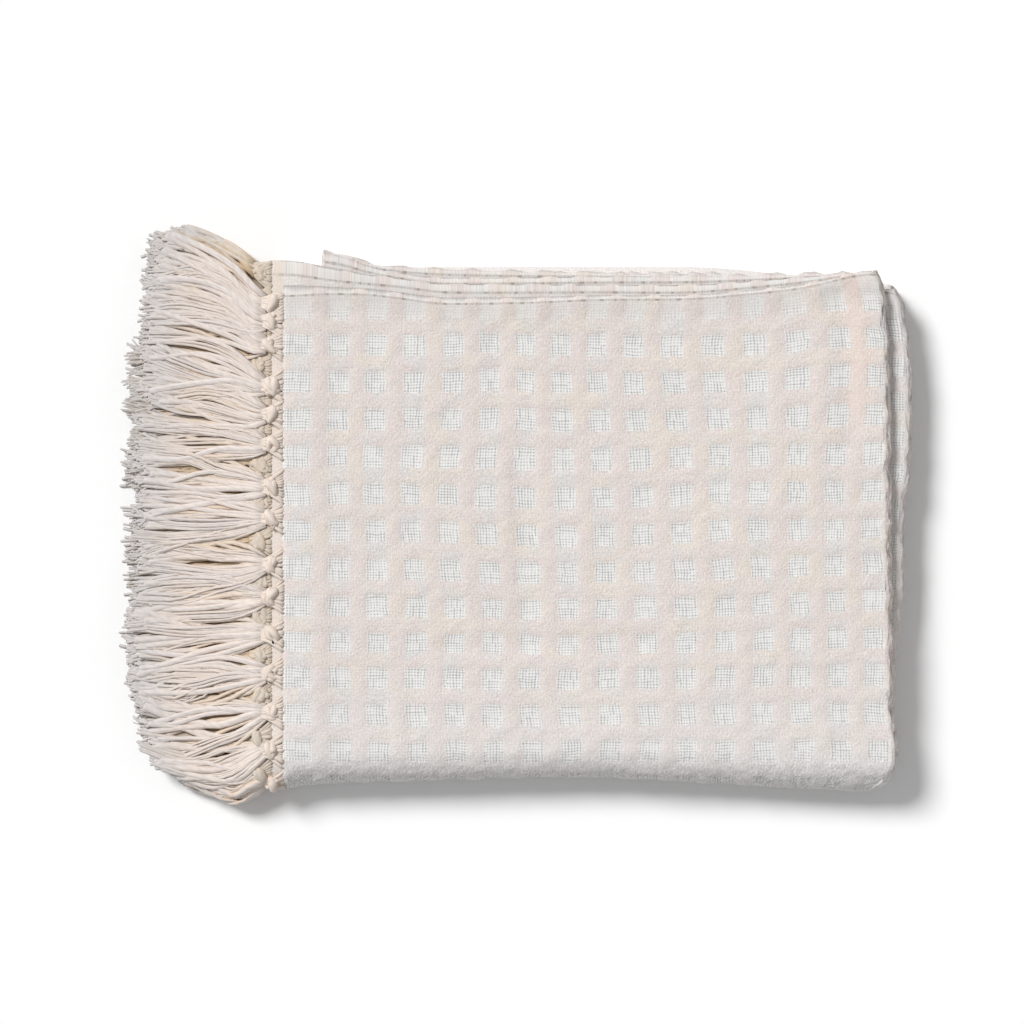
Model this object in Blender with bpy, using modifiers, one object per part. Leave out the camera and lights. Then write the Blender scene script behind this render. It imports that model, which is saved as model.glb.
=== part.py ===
"""A folded open-weave throw with a knotted fringe at both ends.

The panel is folded in four along its length and then in four across its width, so the stack
has sixteen layers. Sizes are in metres. X runs along the folded length, with the fringe at its
low end, Y runs across it, and Z is up.

In a bundle of four layers, A1 ends at the near fringe and B1 at the far one. From the outside
in they lie A1, B1, B2, A2. A1 and A2 are joined by the outer turn at the right, B1 and B2 by
the inner one, and B2 and A2 by a tight pin fold at the left. The bundle then runs along a path
of four runs in Y and Z. A point of the cloth is its place along the path and its offset from
it, and offset 0 is layer A2.
"""

import bisect
import math
import random
from collections import namedtuple

import bmesh
import bpy
import numpy as np

COLLECTION = "waffle_weave_blanket"

# The flat throw.
CLOTH_LENGTH = 1.50
CLOTH_WIDTH = 1.30
FRINGE_LENGTH = 0.096
SHEET = 0.0020
LAYER_PITCH = 0.0025

# Where the folds lie. The far fringe reaches past the near one, because its turn is shorter.
PIN_X = 0.027
TURN_LAYERS = 1.5
PIN_LAYERS = 0.5
NEAR_OVERHANG = 0.008
INNER_OVERHANG = 0.004
B_REACH = math.pi * LAYER_PITCH
TURN_X = (CLOTH_LENGTH - 2.5 * math.pi * LAYER_PITCH + 2 * PIN_X - B_REACH) / 4

# Offsets of the four layers of a bundle from its path.
OFFSETS = {"A2": 0.0, "B2": LAYER_PITCH, "B1": 2 * LAYER_PITCH, "A1": 3 * LAYER_PITCH}

# The path of the bundle. Levels and radii are counted in layers.
OUTER_RADIUS, HAIRPIN_RADIUS, INNER_RADIUS = 4.5, 0.5, 3.5
PATH_TURNS = math.pi * LAYER_PITCH * (OUTER_RADIUS + HAIRPIN_RADIUS + INNER_RADIUS)
RUN = (CLOTH_WIDTH - PATH_TURNS - NEAR_OVERHANG - INNER_OVERHANG) / 4
HALF_RUN = RUN / 2
Piece = namedtuple("Piece", "kind start end y level radius side")
PATH = (
    Piece("straight", HALF_RUN + NEAR_OVERHANG, -HALF_RUN, 0, 12.5, 0, 1),
    Piece("arc", 90, 270, -HALF_RUN, 8, OUTER_RADIUS, 1),
    Piece("straight", -HALF_RUN, HALF_RUN, 0, 3.5, 0, -1),
    Piece("arc", -90, 90, HALF_RUN, 4, HAIRPIN_RADIUS, 1),
    Piece("straight", HALF_RUN, -HALF_RUN, 0, 4.5, 0, 1),
    Piece("arc", 270, 90, -HALF_RUN, 8, INNER_RADIUS, -1),
    Piece("straight", -HALF_RUN, HALF_RUN + INNER_OVERHANG, 0, 11.5, 0, -1),
)
QUARTER_STAGES = (0.0, 1.5, 3.5, 5.5, 7.0)
UNDER_TOP_RUN = 12 * LAYER_PITCH
FLOOR_SHIFT = (LAYER_PITCH - SHEET) / 2

# How the stack has settled. The first row of a table names its columns.
SELVEDGE_PULL = (
    ("x", "A1", "B1", "B2", "A2"),
    (0.000, 0.0175, -0.0026, -0.0090, -0.0095),
    (0.034, 0.0165, 0.0040, -0.0070, -0.0090),
    (0.054, 0.0170, 0.0065, 0.0000, -0.0025),
    (0.072, 0.0190, 0.0080, 0.0045, 0.0000),
    (0.107, 0.0230, 0.0120, 0.0085, 0.0015),
    (0.152, 0.0225, 0.0125, 0.0080, 0.0030),
    (0.203, 0.0205, 0.0130, 0.0070, 0.0040),
    (0.254, 0.0200, 0.0135, 0.0065, 0.0052),
    (0.305, 0.0160, 0.0100, 0.0058, 0.0050),
    (0.331, 0.0130, 0.0075, 0.0050, 0.0046),
    (TURN_X, 0.0040, 0.0040, 0.0040, 0.0040),
)
ALONG_RIGHT = (
    ("y", "lean", "lower_runs_out"),
    (-0.1525, 0.0050, 0.0000),
    (-0.138, 0.0045, 0.0010),
    (-0.120, 0.0022, 0.0015),
    (-0.095, 0.0020, 0.0025),
    (-0.065, 0.0015, 0.0060),
    (-0.035, 0.0010, 0.0090),
    (0.010, 0.0005, 0.0100),
    (0.045, 0.0005, 0.0135),
    (0.110, -0.0005, 0.0150),
    (0.138, -0.0022, 0.0135),
    (0.153, -0.0035, 0.0130),
)
ALONG_BOTTOM = (
    ("x", "lift"),
    (0.000, 0.0000),
    (0.017, 0.0025),
    (0.090, 0.0052),
    (0.170, 0.0070),
    (0.270, 0.0040),
    (0.310, 0.0006),
    (0.384, -0.0015),
)
LOWER_CORNER = (("x", "pull"), (0.250, 0.000), (0.384, 0.011))
ROUND_CORNERS_FROM_X = 0.320
ROUND_CORNERS = (
    ("y", "drawn_in"),
    (-0.1725, 0.0120),
    (-0.1660, 0.0055),
    (-0.1520, 0.0000),
    (0.1480, 0.0000),
    (0.1600, 0.0040),
)
ACROSS_FRINGE = (
    ("y", "swing", "reach"),
    (-0.168, 0.000, 0.62),
    (-0.150, -0.008, 0.78),
    (-0.130, -0.010, 0.92),
    (-0.100, -0.005, 1.01),
    (0.000, 0.000, 1.03),
    (0.040, 0.006, 1.02),
    (0.080, 0.017, 0.98),
    (0.105, 0.022, 0.94),
    (0.130, 0.033, 0.87),
    (0.143, 0.034, 0.82),
    (0.160, 0.026, 0.62),
)
NEAR_RING_X, FAR_RING_X = -0.034, -0.064
ALONG_FRINGE = (
    ("x", "droop", "fan"),
    (-0.105, 1.03, 1.00),
    (FAR_RING_X, 0.96, 0.80),
    (NEAR_RING_X, 0.70, 0.46),
    (-0.012, 0.344, 0.03),
    (0.000, 0.15, 0.00),
    (PIN_X, 0.00, 0.00),
)
TIP_LEVELS = (
    ("height", "at_tips"),
    (0.000, 0.0000),
    (0.005, 0.0038),
    (0.015, 0.0055),
    (0.025, 0.0131),
    (0.035, 0.0148),
    (0.040, 0.0186),
    (0.060, 0.0338),
)
KNOT_REACH = -0.020
SWELL, SWELL_LENGTH, SWELL_WIDTH = 0.02, 0.26, 0.34

# Mesh steps. Nested layers share them, so that they stay apart.
STRAIGHT_STEPS_X, STRAIGHT_STEPS_Y = 5, 5
TURN_STEPS_X, PIN_STEPS_X = 4, 3
ARC_STEPS = {1: 6, 3: 4, 5: 6}

# The fringe, first modelled flat as a comb: X away from the cloth, Y along its edge.
EDGE_GAP = 0.0003
Tassel = namedtuple("Tassel", "distance quarter")
TASSELS_A_QUARTER = 14
# Where the tassels of the top quarter hang along their edge. The far fringe's fill the gaps.
TOP_TASSELS = {
    "A1": (
        (0.0063, 0.0185, 0.0345, 0.0620, 0.0810, 0.1010, 0.1300, 0.1510)
        + (0.1820, 0.2040, 0.2290, 0.2560, 0.2820, 0.3080, 0.3330)
    ),
    "B1": (
        (0.0065, 0.0240, 0.0440, 0.0640, 0.0860, 0.1050, 0.1270, 0.1500)
        + (0.1750, 0.2010, 0.2220, 0.2480, 0.2730, 0.3000, 0.3240)
    ),
}
STRIP_DEPTH = 0.0025
ROOT_HALF = 0.0040
CUT_CLEARANCE = 0.0010
Ring = namedtuple("Ring", "distance half_width share")
KNOT_RINGS = (Ring(0.0068, 0.0058, 1.0), Ring(0.0115, 0.0034, 0.0))
LOCK_RINGS = (
    ("x", "spread", "half_width", "thickness"),
    (NEAR_RING_X, 0.0042, 0.0027, 1.00),
    (FAR_RING_X, 0.0052, 0.0024, 0.95),
    (-FRINGE_LENGTH, 0.0054, 0.0013, 0.75),
)
LOCK_WANDER, TASSEL_WANDER, SHORTER_TIPS = 0.0009, 0.0018, 0.010
SEED = 11
TASSEL_DEPTHS = {
    "A1": (
        ("quarter", "knot_out", "knot_in", "lock_out", "lock_in"),
        (0, 0.0046, 0.0008, 0.0022, 0.0004),
        (1, 0.0010, 0.0008, 0.0010, 0.0004),
        (2, 0.0010, 0.0008, 0.0009, 0.0006),
        (3, 0.0010, 0.0008, 0.0009, 0.0006),
    ),
    "B1": (
        ("quarter", "knot_out", "knot_in", "lock_out", "lock_in"),
        (0, 0.0008, 0.0048, 0.0005, 0.0013),
        (1, 0.0008, 0.0040, 0.0005, 0.0013),
        (2, 0.0008, 0.0040, 0.0006, 0.0012),
        (3, 0.0008, 0.0040, 0.0006, 0.0012),
    ),
}


def read(table, column, at):
    """The named column of a table at a value of its first column, straight between rows."""
    names, *rows = table
    place = names.index(column)
    return float(np.interp(at, [row[0] for row in rows], [row[place] for row in rows]))


def selvedge_pull(x, offset):
    """How far the selvedge of the top run is drawn in, for a layer at this offset."""
    pulls = [read(SELVEDGE_PULL, layer, x) for layer in OFFSETS]
    return float(np.interp(offset, list(OFFSETS.values()), pulls))


def fold_point(stage, offset, x):
    """(y, z) of the point at this stage of the path, where piece i runs from stage i to i + 1."""
    index = min(int(stage), len(PATH) - 1)
    piece = PATH[index]
    share = stage - index
    if piece.kind == "arc":
        angle = math.radians(piece.start + (piece.end - piece.start) * share)
        radius = piece.radius * LAYER_PITCH + piece.side * offset
        y = piece.y + radius * math.cos(angle)
        z = piece.level * LAYER_PITCH + radius * math.sin(angle)
        return y, z - FLOOR_SHIFT
    start = piece.start - (selvedge_pull(x, offset) if index == 0 else 0)
    y = start + (piece.end - start) * share
    return y, piece.level * LAYER_PITCH + piece.side * offset - FLOOR_SHIFT


def piece_lengths(offset):
    """The length of each piece of the path at this offset."""
    lengths = []
    for piece in PATH:
        if piece.kind == "arc":
            radius = piece.radius * LAYER_PITCH + piece.side * offset
            lengths.append(math.pi * radius)
        else:
            lengths.append(abs(piece.end - piece.start))
    return lengths


def length_at(stage, offset):
    ends = np.concatenate([[0.0], np.cumsum(piece_lengths(offset))])
    return float(np.interp(stage, range(len(ends)), ends))


def stage_at(length, offset):
    ends = np.concatenate([[0.0], np.cumsum(piece_lengths(offset))])
    return float(np.interp(length, ends, range(len(ends))))


def settle(x, y, z):
    """Moves a point of the neat folded stack to where the loosely folded one has it."""
    toward_right = min(max(x / TURN_X, 0.0), 1.0)
    toward_top = min(max((y + HALF_RUN) / RUN, 0.0), 1.0)
    under = z < UNDER_TOP_RUN
    right = read(ALONG_RIGHT, "lean", y)
    pull = read(ALONG_BOTTOM, "lift", x) * (1 - toward_top)
    if under:
        right += read(ALONG_RIGHT, "lower_runs_out", y)
        pull -= read(LOWER_CORNER, "pull", x) * toward_top
    droop = read(ALONG_FRINGE, "droop", x)
    fan = read(ALONG_FRINGE, "fan", x)
    past_knots = max(KNOT_REACH - x, 0.0)
    corner = min(max((x - ROUND_CORNERS_FROM_X) / (TURN_X - ROUND_CORNERS_FROM_X), 0.0), 1.0)
    right_end = toward_right * right - corner * read(ROUND_CORNERS, "drawn_in", y)
    swell = math.sin(math.tau * x / SWELL_LENGTH) * math.cos(math.tau * y / SWELL_WIDTH)
    height = z * (1 - droop) + read(TIP_LEVELS, "at_tips", z) * droop
    return (
        x + right_end + past_knots * (1 - read(ACROSS_FRINGE, "reach", y)),
        y + pull + fan * read(ACROSS_FRINGE, "swing", y),
        height * (1 + SWELL * toward_right * swell),
    )


def arc_points(x, offset, radius, start, end, steps):
    """Points after the first of an arc in the bundle's section, by its angles in degrees."""
    points = []
    for step in range(1, steps + 1):
        angle = math.radians(start + (end - start) * step / steps)
        points.append((x + radius * math.cos(angle), offset + radius * math.sin(angle)))
    return points


def bundle_section():
    """(x, offset) of the four layers from the near fringe to the far one."""
    stops = list(np.linspace(PIN_X, TURN_X, STRAIGHT_STEPS_X + 1))
    back = stops[::-1]
    outer = TURN_LAYERS * LAYER_PITCH
    pin = PIN_LAYERS * LAYER_PITCH
    points = [(0.0, OFFSETS["A1"])] + [(x, OFFSETS["A1"]) for x in stops]
    points += arc_points(TURN_X, outer, outer, 90, -90, TURN_STEPS_X)
    points += [(x, OFFSETS["A2"]) for x in back[1:]]
    points += arc_points(PIN_X, pin, pin, -90, -270, PIN_STEPS_X)
    points += [(x, OFFSETS["B2"]) for x in stops[1:]]
    points += arc_points(TURN_X, outer, pin, -90, 90, TURN_STEPS_X)
    points += [(x, OFFSETS["B1"]) for x in back[1:]]
    return points + [(0.0, OFFSETS["B1"]), (-B_REACH, OFFSETS["B1"])]


def path_stages():
    """The stages of the path where the cloth has a row of points."""
    stages = [0.0]
    for index in range(len(PATH)):
        steps = ARC_STEPS.get(index, STRAIGHT_STEPS_Y)
        stages += [index + step / steps for step in range(1, steps + 1)]
    return stages


def fabric(name, colour):
    material = bpy.data.materials.new(name)
    material.use_nodes = True
    shader = material.node_tree.nodes["Principled BSDF"]
    shader.inputs["Base Color"].default_value = (*colour, 1)
    shader.inputs["Roughness"].default_value = 0.95
    shader.inputs["Metallic"].default_value = 0.0
    return material


def link(name, mesh, material, collection):
    mesh.name = name
    mesh.materials.clear()
    mesh.materials.append(material)
    mesh.shade_smooth()
    obj = bpy.data.objects.new(name, mesh)
    collection.objects.link(obj)
    return obj


def folded_sheet():
    """The mid-surface of the cloth, folded but not yet settled."""
    section = bundle_section()
    stages = path_stages()
    columns, rows = len(section) - 1, len(stages) - 1
    bm = bmesh.new()
    bmesh.ops.create_grid(bm, x_segments=columns, y_segments=rows, size=0.5)
    for vertex in bm.verts:
        x, offset = section[round((vertex.co.x + 0.5) * columns)]
        stage = stages[round((vertex.co.y + 0.5) * rows)]
        vertex.co = (x, *fold_point(stage, offset, x))
    mesh = bpy.data.meshes.new("folded_sheet")
    bm.to_mesh(mesh)
    bm.free()
    return mesh


def make_cloth(material, collection):
    """Gives the folded sheet its thickness, then settles it."""
    sheet = bpy.data.objects.new("sheet", folded_sheet())
    collection.objects.link(sheet)
    solidify = sheet.modifiers.new("thickness", "SOLIDIFY")
    solidify.thickness = SHEET
    solidify.offset = 0.0
    graph = bpy.context.evaluated_depsgraph_get()
    mesh = bpy.data.meshes.new_from_object(sheet.evaluated_get(graph))
    bpy.data.objects.remove(sheet)
    for vertex in mesh.vertices:
        vertex.co = settle(*vertex.co)
    return link("cloth", mesh, material, collection)


def tassels_of(layer):
    """The tassels of a layer, by distance along its edge. None is on the middle of a turn."""
    offset = OFFSETS[layer]
    chance = random.Random(SEED + round(offset / LAYER_PITCH))
    tassels = [Tassel(distance, 0) for distance in TOP_TASSELS[layer]]
    for quarter in range(1, len(QUARTER_STAGES) - 1):
        low = length_at(QUARTER_STAGES[quarter], offset)
        step = (length_at(QUARTER_STAGES[quarter + 1], offset) - low) / TASSELS_A_QUARTER
        for i in range(TASSELS_A_QUARTER):
            wander = chance.uniform(-TASSEL_WANDER, TASSEL_WANDER)
            beside_turn = i in (0, TASSELS_A_QUARTER - 1)
            distance = low + (i + 0.5) * step + (0 if beside_turn else wander)
            tassels.append(Tassel(distance, quarter))
    return tassels


def strip_cuts(tassels, offset):
    """Where the strip is cut along its length: at each tassel's root, and round each turn."""
    clear = ROOT_HALF + CUT_CLEARANCE
    cuts = {length_at(0, offset), length_at(len(PATH), offset)}
    for index, steps in ARC_STEPS.items():
        for step in range(steps + 1):
            length = length_at(index + step / steps, offset)
            if all(abs(length - tassel.distance) > clear for tassel in tassels):
                cuts.add(length)
    for distance, _ in tassels:
        cuts.update((distance - ROOT_HALF, distance, distance + ROOT_HALF))
    return sorted(cuts)


def extrude_region(bm, faces):
    """Extrudes faces together, drops the ones that they came from and returns the new ones."""
    made = bmesh.ops.extrude_face_region(bm, geom=faces)["geom"]
    bmesh.ops.delete(bm, geom=faces, context="FACES")
    return [item for item in made if isinstance(item, bmesh.types.BMFace)]


def comb_strip(cuts):
    """A flat strip as a closed box, and its faces on the side of the tassels, in order."""
    columns = len(cuts) - 1
    bm = bmesh.new()
    bmesh.ops.create_grid(bm, x_segments=columns, y_segments=1, size=0.5)
    for vertex in bm.verts:
        along = cuts[round((vertex.co.x + 0.5) * columns)]
        vertex.co = (0.0, along, math.copysign(SHEET / 2, vertex.co.y))
    made = bmesh.ops.extrude_face_region(bm, geom=bm.faces[:])["geom"]
    front = [item for item in made if isinstance(item, bmesh.types.BMFace)]
    for vertex in {vertex for face in front for vertex in face.verts}:
        vertex.co.x = -STRIP_DEPTH
    return bm, sorted(front, key=lambda face: face.calc_center_median().y)


def nearest(tassels, length):
    """The tassel nearest to this length."""
    place = bisect.bisect(tassels, (length,))
    around = tassels[max(place - 1, 0) : place + 1]
    return min(around, key=lambda tassel: abs(tassel.distance - length))


def grow_knots(bm, roots, tassels, depths):
    """Draws each tassel's root out into a knot: a swollen ring, then a waist."""
    faces = roots
    for ring in KNOT_RINGS:
        faces = extrude_region(bm, faces)
        for vertex in {vertex for face in faces for vertex in face.verts}:
            middle, quarter = nearest(tassels, vertex.co.y)
            side = np.sign(round(vertex.co.y - middle, 6))
            kind = "out" if vertex.co.z > 0 else "in"
            thick = read(depths, "knot_" + kind, quarter)
            waist = read(depths, "lock_" + kind, quarter)
            depth = waist + (thick - waist) * ring.share
            vertex.co.x = -ring.distance
            vertex.co.y = middle + side * ring.half_width
            vertex.co.z = math.copysign(depth, vertex.co.z)
    return sorted(faces, key=lambda face: face.calc_center_median().y)


def place_lock(face, x, middle, half_width, thickness):
    centre = face.calc_center_median()
    for vertex in face.verts:
        side = math.copysign(half_width, vertex.co.y - centre.y)
        vertex.co = (x, middle + side, vertex.co.z * thickness)


def grow_locks(bm, faces, tassels, shift):
    """Draws two locks out of each knot. shift is how far their strip lies past the cloth."""
    chance = random.Random(SEED)
    for face in faces:
        along_face = face.calc_center_median().y
        middle = nearest(tassels, along_face).distance
        side = math.copysign(1, along_face - middle)
        shorter = chance.uniform(0, SHORTER_TIPS)
        for x, spread, half_width, thickness in LOCK_RINGS[1:]:
            at_tip = x == -FRINGE_LENGTH
            along = middle + side * spread + chance.uniform(-LOCK_WANDER, LOCK_WANDER)
            face = bmesh.ops.extrude_discrete_faces(bm, faces=[face])["faces"][0]
            place_lock(face, x + (shorter if at_tip else shift), along, half_width, thickness)


def flat_comb(layer, shift):
    """The whole fringe of one end, laid out flat."""
    tassels = tassels_of(layer)
    bm, front = comb_strip(strip_cuts(tassels, OFFSETS[layer]))
    roots = []
    for face in front:
        middle = face.calc_center_median().y
        if abs(middle - nearest(tassels, middle).distance) < ROOT_HALF:
            roots.append(face)
    ends = grow_knots(bm, roots, tassels, TASSEL_DEPTHS[layer])
    grow_locks(bm, ends, tassels, shift)
    bmesh.ops.recalc_face_normals(bm, faces=bm.faces[:])
    return bm


def make_fringe(name, layer, edge_x, material, collection):
    """Lays the flat comb along the folded edge of a layer, then settles it."""
    offset = OFFSETS[layer]
    shift = -edge_x + EDGE_GAP
    bm = flat_comb(layer, shift)
    for vertex in bm.verts:
        x = vertex.co.x - shift
        stage = stage_at(vertex.co.y, offset)
        y, z = fold_point(stage, offset + vertex.co.z, x)
        vertex.co = settle(x, y, z)
    # The path sets out against Y, which mirrors the comb.
    bmesh.ops.reverse_faces(bm, faces=bm.faces[:])
    mesh = bpy.data.meshes.new(name)
    bm.to_mesh(mesh)
    bm.free()
    return link(name, mesh, material, collection)


def centre_on_floor(objects):
    """Puts the origin under the middle of the whole part."""
    corners = np.array([vertex.co for obj in objects for vertex in obj.data.vertices])
    low, high = corners.min(axis=0), corners.max(axis=0)
    for obj in objects:
        obj.location = (-(low[0] + high[0]) / 2, -(low[1] + high[1]) / 2, -low[2])


def main():
    for obj in list(bpy.data.objects):
        bpy.data.objects.remove(obj, do_unlink=True)
    collection = bpy.data.collections.new(COLLECTION)
    bpy.context.scene.collection.children.link(collection)
    woven = fabric("woven_cotton", (0.80, 0.77, 0.72))
    near = fabric("near_fringe_yarn", (0.82, 0.80, 0.77))
    far = fabric("far_fringe_yarn", (0.74, 0.70, 0.62))
    centre_on_floor(
        [
            make_cloth(woven, collection),
            make_fringe("fringe_near", "A1", 0.0, near, collection),
            make_fringe("fringe_far", "B1", -B_REACH, far, collection),
        ]
    )


main()
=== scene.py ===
"""The looks of the folded open-weave throw.

The cloth is one thin closed sheet on the folds of its solid, and the two fringes are knotted
tassels of loose yarn. Sizes are in metres. In fold space X runs along the folded length from
the near fringe's edge, Y across it and Z up, as in the solids' own source. A point of the
cloth is its place along the path of the folded bundle and its offset from that path.
"""

import math
import random
from collections import namedtuple

import bpy
import numpy as np
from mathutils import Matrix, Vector


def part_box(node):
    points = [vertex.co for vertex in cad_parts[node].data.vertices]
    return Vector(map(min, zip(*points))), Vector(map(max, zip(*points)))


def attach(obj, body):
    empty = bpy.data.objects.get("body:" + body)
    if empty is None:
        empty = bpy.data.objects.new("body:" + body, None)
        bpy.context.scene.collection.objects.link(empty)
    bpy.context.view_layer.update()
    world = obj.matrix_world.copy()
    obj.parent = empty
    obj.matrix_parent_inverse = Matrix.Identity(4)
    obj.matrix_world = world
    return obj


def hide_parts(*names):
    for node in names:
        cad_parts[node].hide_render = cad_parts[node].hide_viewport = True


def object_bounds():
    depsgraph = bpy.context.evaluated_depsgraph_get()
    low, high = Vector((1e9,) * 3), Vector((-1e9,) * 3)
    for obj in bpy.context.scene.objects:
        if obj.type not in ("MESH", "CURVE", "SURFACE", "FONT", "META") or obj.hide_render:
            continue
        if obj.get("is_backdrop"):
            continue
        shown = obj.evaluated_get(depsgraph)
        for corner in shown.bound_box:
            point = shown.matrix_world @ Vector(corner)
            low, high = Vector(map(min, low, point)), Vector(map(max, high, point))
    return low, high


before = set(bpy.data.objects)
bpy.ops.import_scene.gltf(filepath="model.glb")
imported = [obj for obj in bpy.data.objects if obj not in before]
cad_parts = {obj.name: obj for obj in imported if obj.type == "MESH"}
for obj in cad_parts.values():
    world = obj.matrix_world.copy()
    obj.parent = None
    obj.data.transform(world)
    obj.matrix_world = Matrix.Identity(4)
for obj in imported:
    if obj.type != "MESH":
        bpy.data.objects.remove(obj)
CAD_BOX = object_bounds()

# The flat throw, and how it is folded. These repeat the solids' own values.
CLOTH_LENGTH = 1.50
CLOTH_WIDTH = 1.30
FRINGE_LENGTH = 0.096
SHEET = 0.0020
LAYER_PITCH = 0.0025
PIN_X = 0.027
TURN_LAYERS = 1.5
PIN_LAYERS = 0.5
NEAR_OVERHANG = 0.008
INNER_OVERHANG = 0.004
B_REACH = math.pi * LAYER_PITCH
TURN_X = (CLOTH_LENGTH - 2.5 * math.pi * LAYER_PITCH + 2 * PIN_X - B_REACH) / 4
LAYERS = ("A2", "B2", "B1", "A1")
OFFSETS = {layer: place * LAYER_PITCH for place, layer in enumerate(LAYERS)}
OUTER_RADIUS, HAIRPIN_RADIUS, INNER_RADIUS = 4.5, 0.5, 3.5
PATH_TURNS = math.pi * LAYER_PITCH * (OUTER_RADIUS + HAIRPIN_RADIUS + INNER_RADIUS)
RUN = (CLOTH_WIDTH - PATH_TURNS - NEAR_OVERHANG - INNER_OVERHANG) / 4
HALF_RUN = RUN / 2
Piece = namedtuple("Piece", "kind start end y level radius side")
PATH = (
    Piece("straight", HALF_RUN + NEAR_OVERHANG, -HALF_RUN, 0, 12.5, 0, 1),
    Piece("arc", 90, 270, -HALF_RUN, 8, OUTER_RADIUS, 1),
    Piece("straight", -HALF_RUN, HALF_RUN, 0, 3.5, 0, -1),
    Piece("arc", -90, 90, HALF_RUN, 4, HAIRPIN_RADIUS, 1),
    Piece("straight", HALF_RUN, -HALF_RUN, 0, 4.5, 0, 1),
    Piece("arc", 270, 90, -HALF_RUN, 8, INNER_RADIUS, -1),
    Piece("straight", -HALF_RUN, HALF_RUN + INNER_OVERHANG, 0, 11.5, 0, -1),
)
QUARTER_STAGES = (0.0, 1.5, 3.5, 5.5, 7.0)
UNDER_TOP_RUN = 12 * LAYER_PITCH
FLOOR_SHIFT = (LAYER_PITCH - SHEET) / 2

SELVEDGE_PULL = (
    ("x", "A1", "B1", "B2", "A2"),
    (0.000, 0.0175, -0.0026, -0.0090, -0.0095),
    (0.034, 0.0165, 0.0040, -0.0070, -0.0090),
    (0.054, 0.0170, 0.0065, 0.0000, -0.0025),
    (0.072, 0.0190, 0.0080, 0.0045, 0.0000),
    (0.107, 0.0230, 0.0120, 0.0085, 0.0015),
    (0.152, 0.0225, 0.0125, 0.0080, 0.0030),
    (0.203, 0.0205, 0.0130, 0.0070, 0.0040),
    (0.254, 0.0200, 0.0135, 0.0065, 0.0052),
    (0.305, 0.0160, 0.0100, 0.0058, 0.0050),
    (0.331, 0.0130, 0.0075, 0.0050, 0.0046),
    (TURN_X, 0.0040, 0.0040, 0.0040, 0.0040),
)
ALONG_RIGHT = (
    ("y", "lean", "lower_runs_out"),
    (-0.1525, 0.0050, 0.0000),
    (-0.138, 0.0045, 0.0010),
    (-0.120, 0.0022, 0.0015),
    (-0.095, 0.0020, 0.0025),
    (-0.065, 0.0015, 0.0060),
    (-0.035, 0.0010, 0.0090),
    (0.010, 0.0005, 0.0100),
    (0.045, 0.0005, 0.0135),
    (0.110, -0.0005, 0.0150),
    (0.138, -0.0022, 0.0135),
    (0.153, -0.0035, 0.0130),
)
ALONG_BOTTOM = (
    ("x", "lift"),
    (0.000, 0.0000),
    (0.017, 0.0025),
    (0.090, 0.0052),
    (0.170, 0.0070),
    (0.270, 0.0040),
    (0.310, 0.0006),
    (0.384, -0.0015),
)
LOWER_CORNER = (("x", "pull"), (0.250, 0.000), (0.384, 0.011))
ROUND_CORNERS_FROM_X = 0.320
ROUND_CORNERS = (
    ("y", "drawn_in"),
    (-0.1725, 0.0120),
    (-0.1660, 0.0055),
    (-0.1520, 0.0000),
    (0.1480, 0.0000),
    (0.1600, 0.0040),
)
ACROSS_FRINGE = (
    ("y", "swing", "reach"),
    (-0.168, 0.000, 0.62),
    (-0.150, -0.008, 0.78),
    (-0.130, -0.010, 0.92),
    (-0.100, -0.005, 1.01),
    (0.000, 0.000, 1.03),
    (0.040, 0.006, 1.02),
    (0.080, 0.017, 0.98),
    (0.105, 0.022, 0.94),
    (0.130, 0.033, 0.87),
    (0.143, 0.034, 0.82),
    (0.160, 0.026, 0.62),
)
ALONG_FRINGE = (
    ("x", "droop", "fan"),
    (-0.105, 1.03, 1.00),
    (-0.064, 0.96, 0.80),
    (-0.034, 0.70, 0.46),
    (-0.012, 0.344, 0.03),
    (0.000, 0.15, 0.00),
    (PIN_X, 0.00, 0.00),
)
TIP_LEVELS = (
    ("height", "at_tips"),
    (0.000, 0.0000),
    (0.005, 0.0038),
    (0.015, 0.0055),
    (0.025, 0.0131),
    (0.035, 0.0148),
    (0.040, 0.0186),
    (0.060, 0.0338),
)
KNOT_REACH = -0.020
SWELL, SWELL_LENGTH, SWELL_WIDTH = 0.02, 0.26, 0.34

# The weave, in cells of one open square and the bands around it.
CELLS_ALONG, ROWS_ACROSS = 62, 54
SELVEDGE_MARGIN = 0.0145
CELL_LENGTH = CLOTH_LENGTH / CELLS_ALONG
CELL_WIDTH = (CLOTH_WIDTH - 2 * SELVEDGE_MARGIN) / ROWS_ACROSS
SQUARE_HALF = 0.27
THREADS_A_CELL = 13
ROWS_RISE, ROWS_RISE_FROM_TO_X = 0.0030, (0.23, 0.38)
BAND_RISE, SQUARE_DIP, BAND_FROM_TO = 0.00038, 0.0002, (0.22, 0.36)
# Soft unevenness, as rows of how far, how wide and which seed.
WAVES_ALONG = ((0.0013, 0.055, 21), (0.0006, 0.019, 22))
WAVES_ACROSS = ((0.0013, 0.070, 23), (0.0006, 0.021, 24))
FLUFF = ((0.00022, 0.11, 31), (0.00028, 0.30, 32))
LEAN = ((0.00035, 1.7, 33),)
UNEVEN_RIM = ((0.0004, 0.2, 41),)
UNEVEN_SCALLOPS = ((0.0007, 0.55, 61),)
LUMPS = ((0.0005, 0.5, 63), (0.0005, 0.16, 64))
RAGGED = ((0.0009, 0.22, 62), (0.0006, 0.12, 65))
# The rim of the sheet: its thickness beside it, and how far it and its knobs stand out.
RIM_SHARE, RIM_BULGE, END_BULGE = 0.75, 0.0003, 0.0006
KNOB_BULGE, KNOB_FROM_TO, SCALLOP = 0.0018, (0.24, 0.42), -0.0004

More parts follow.
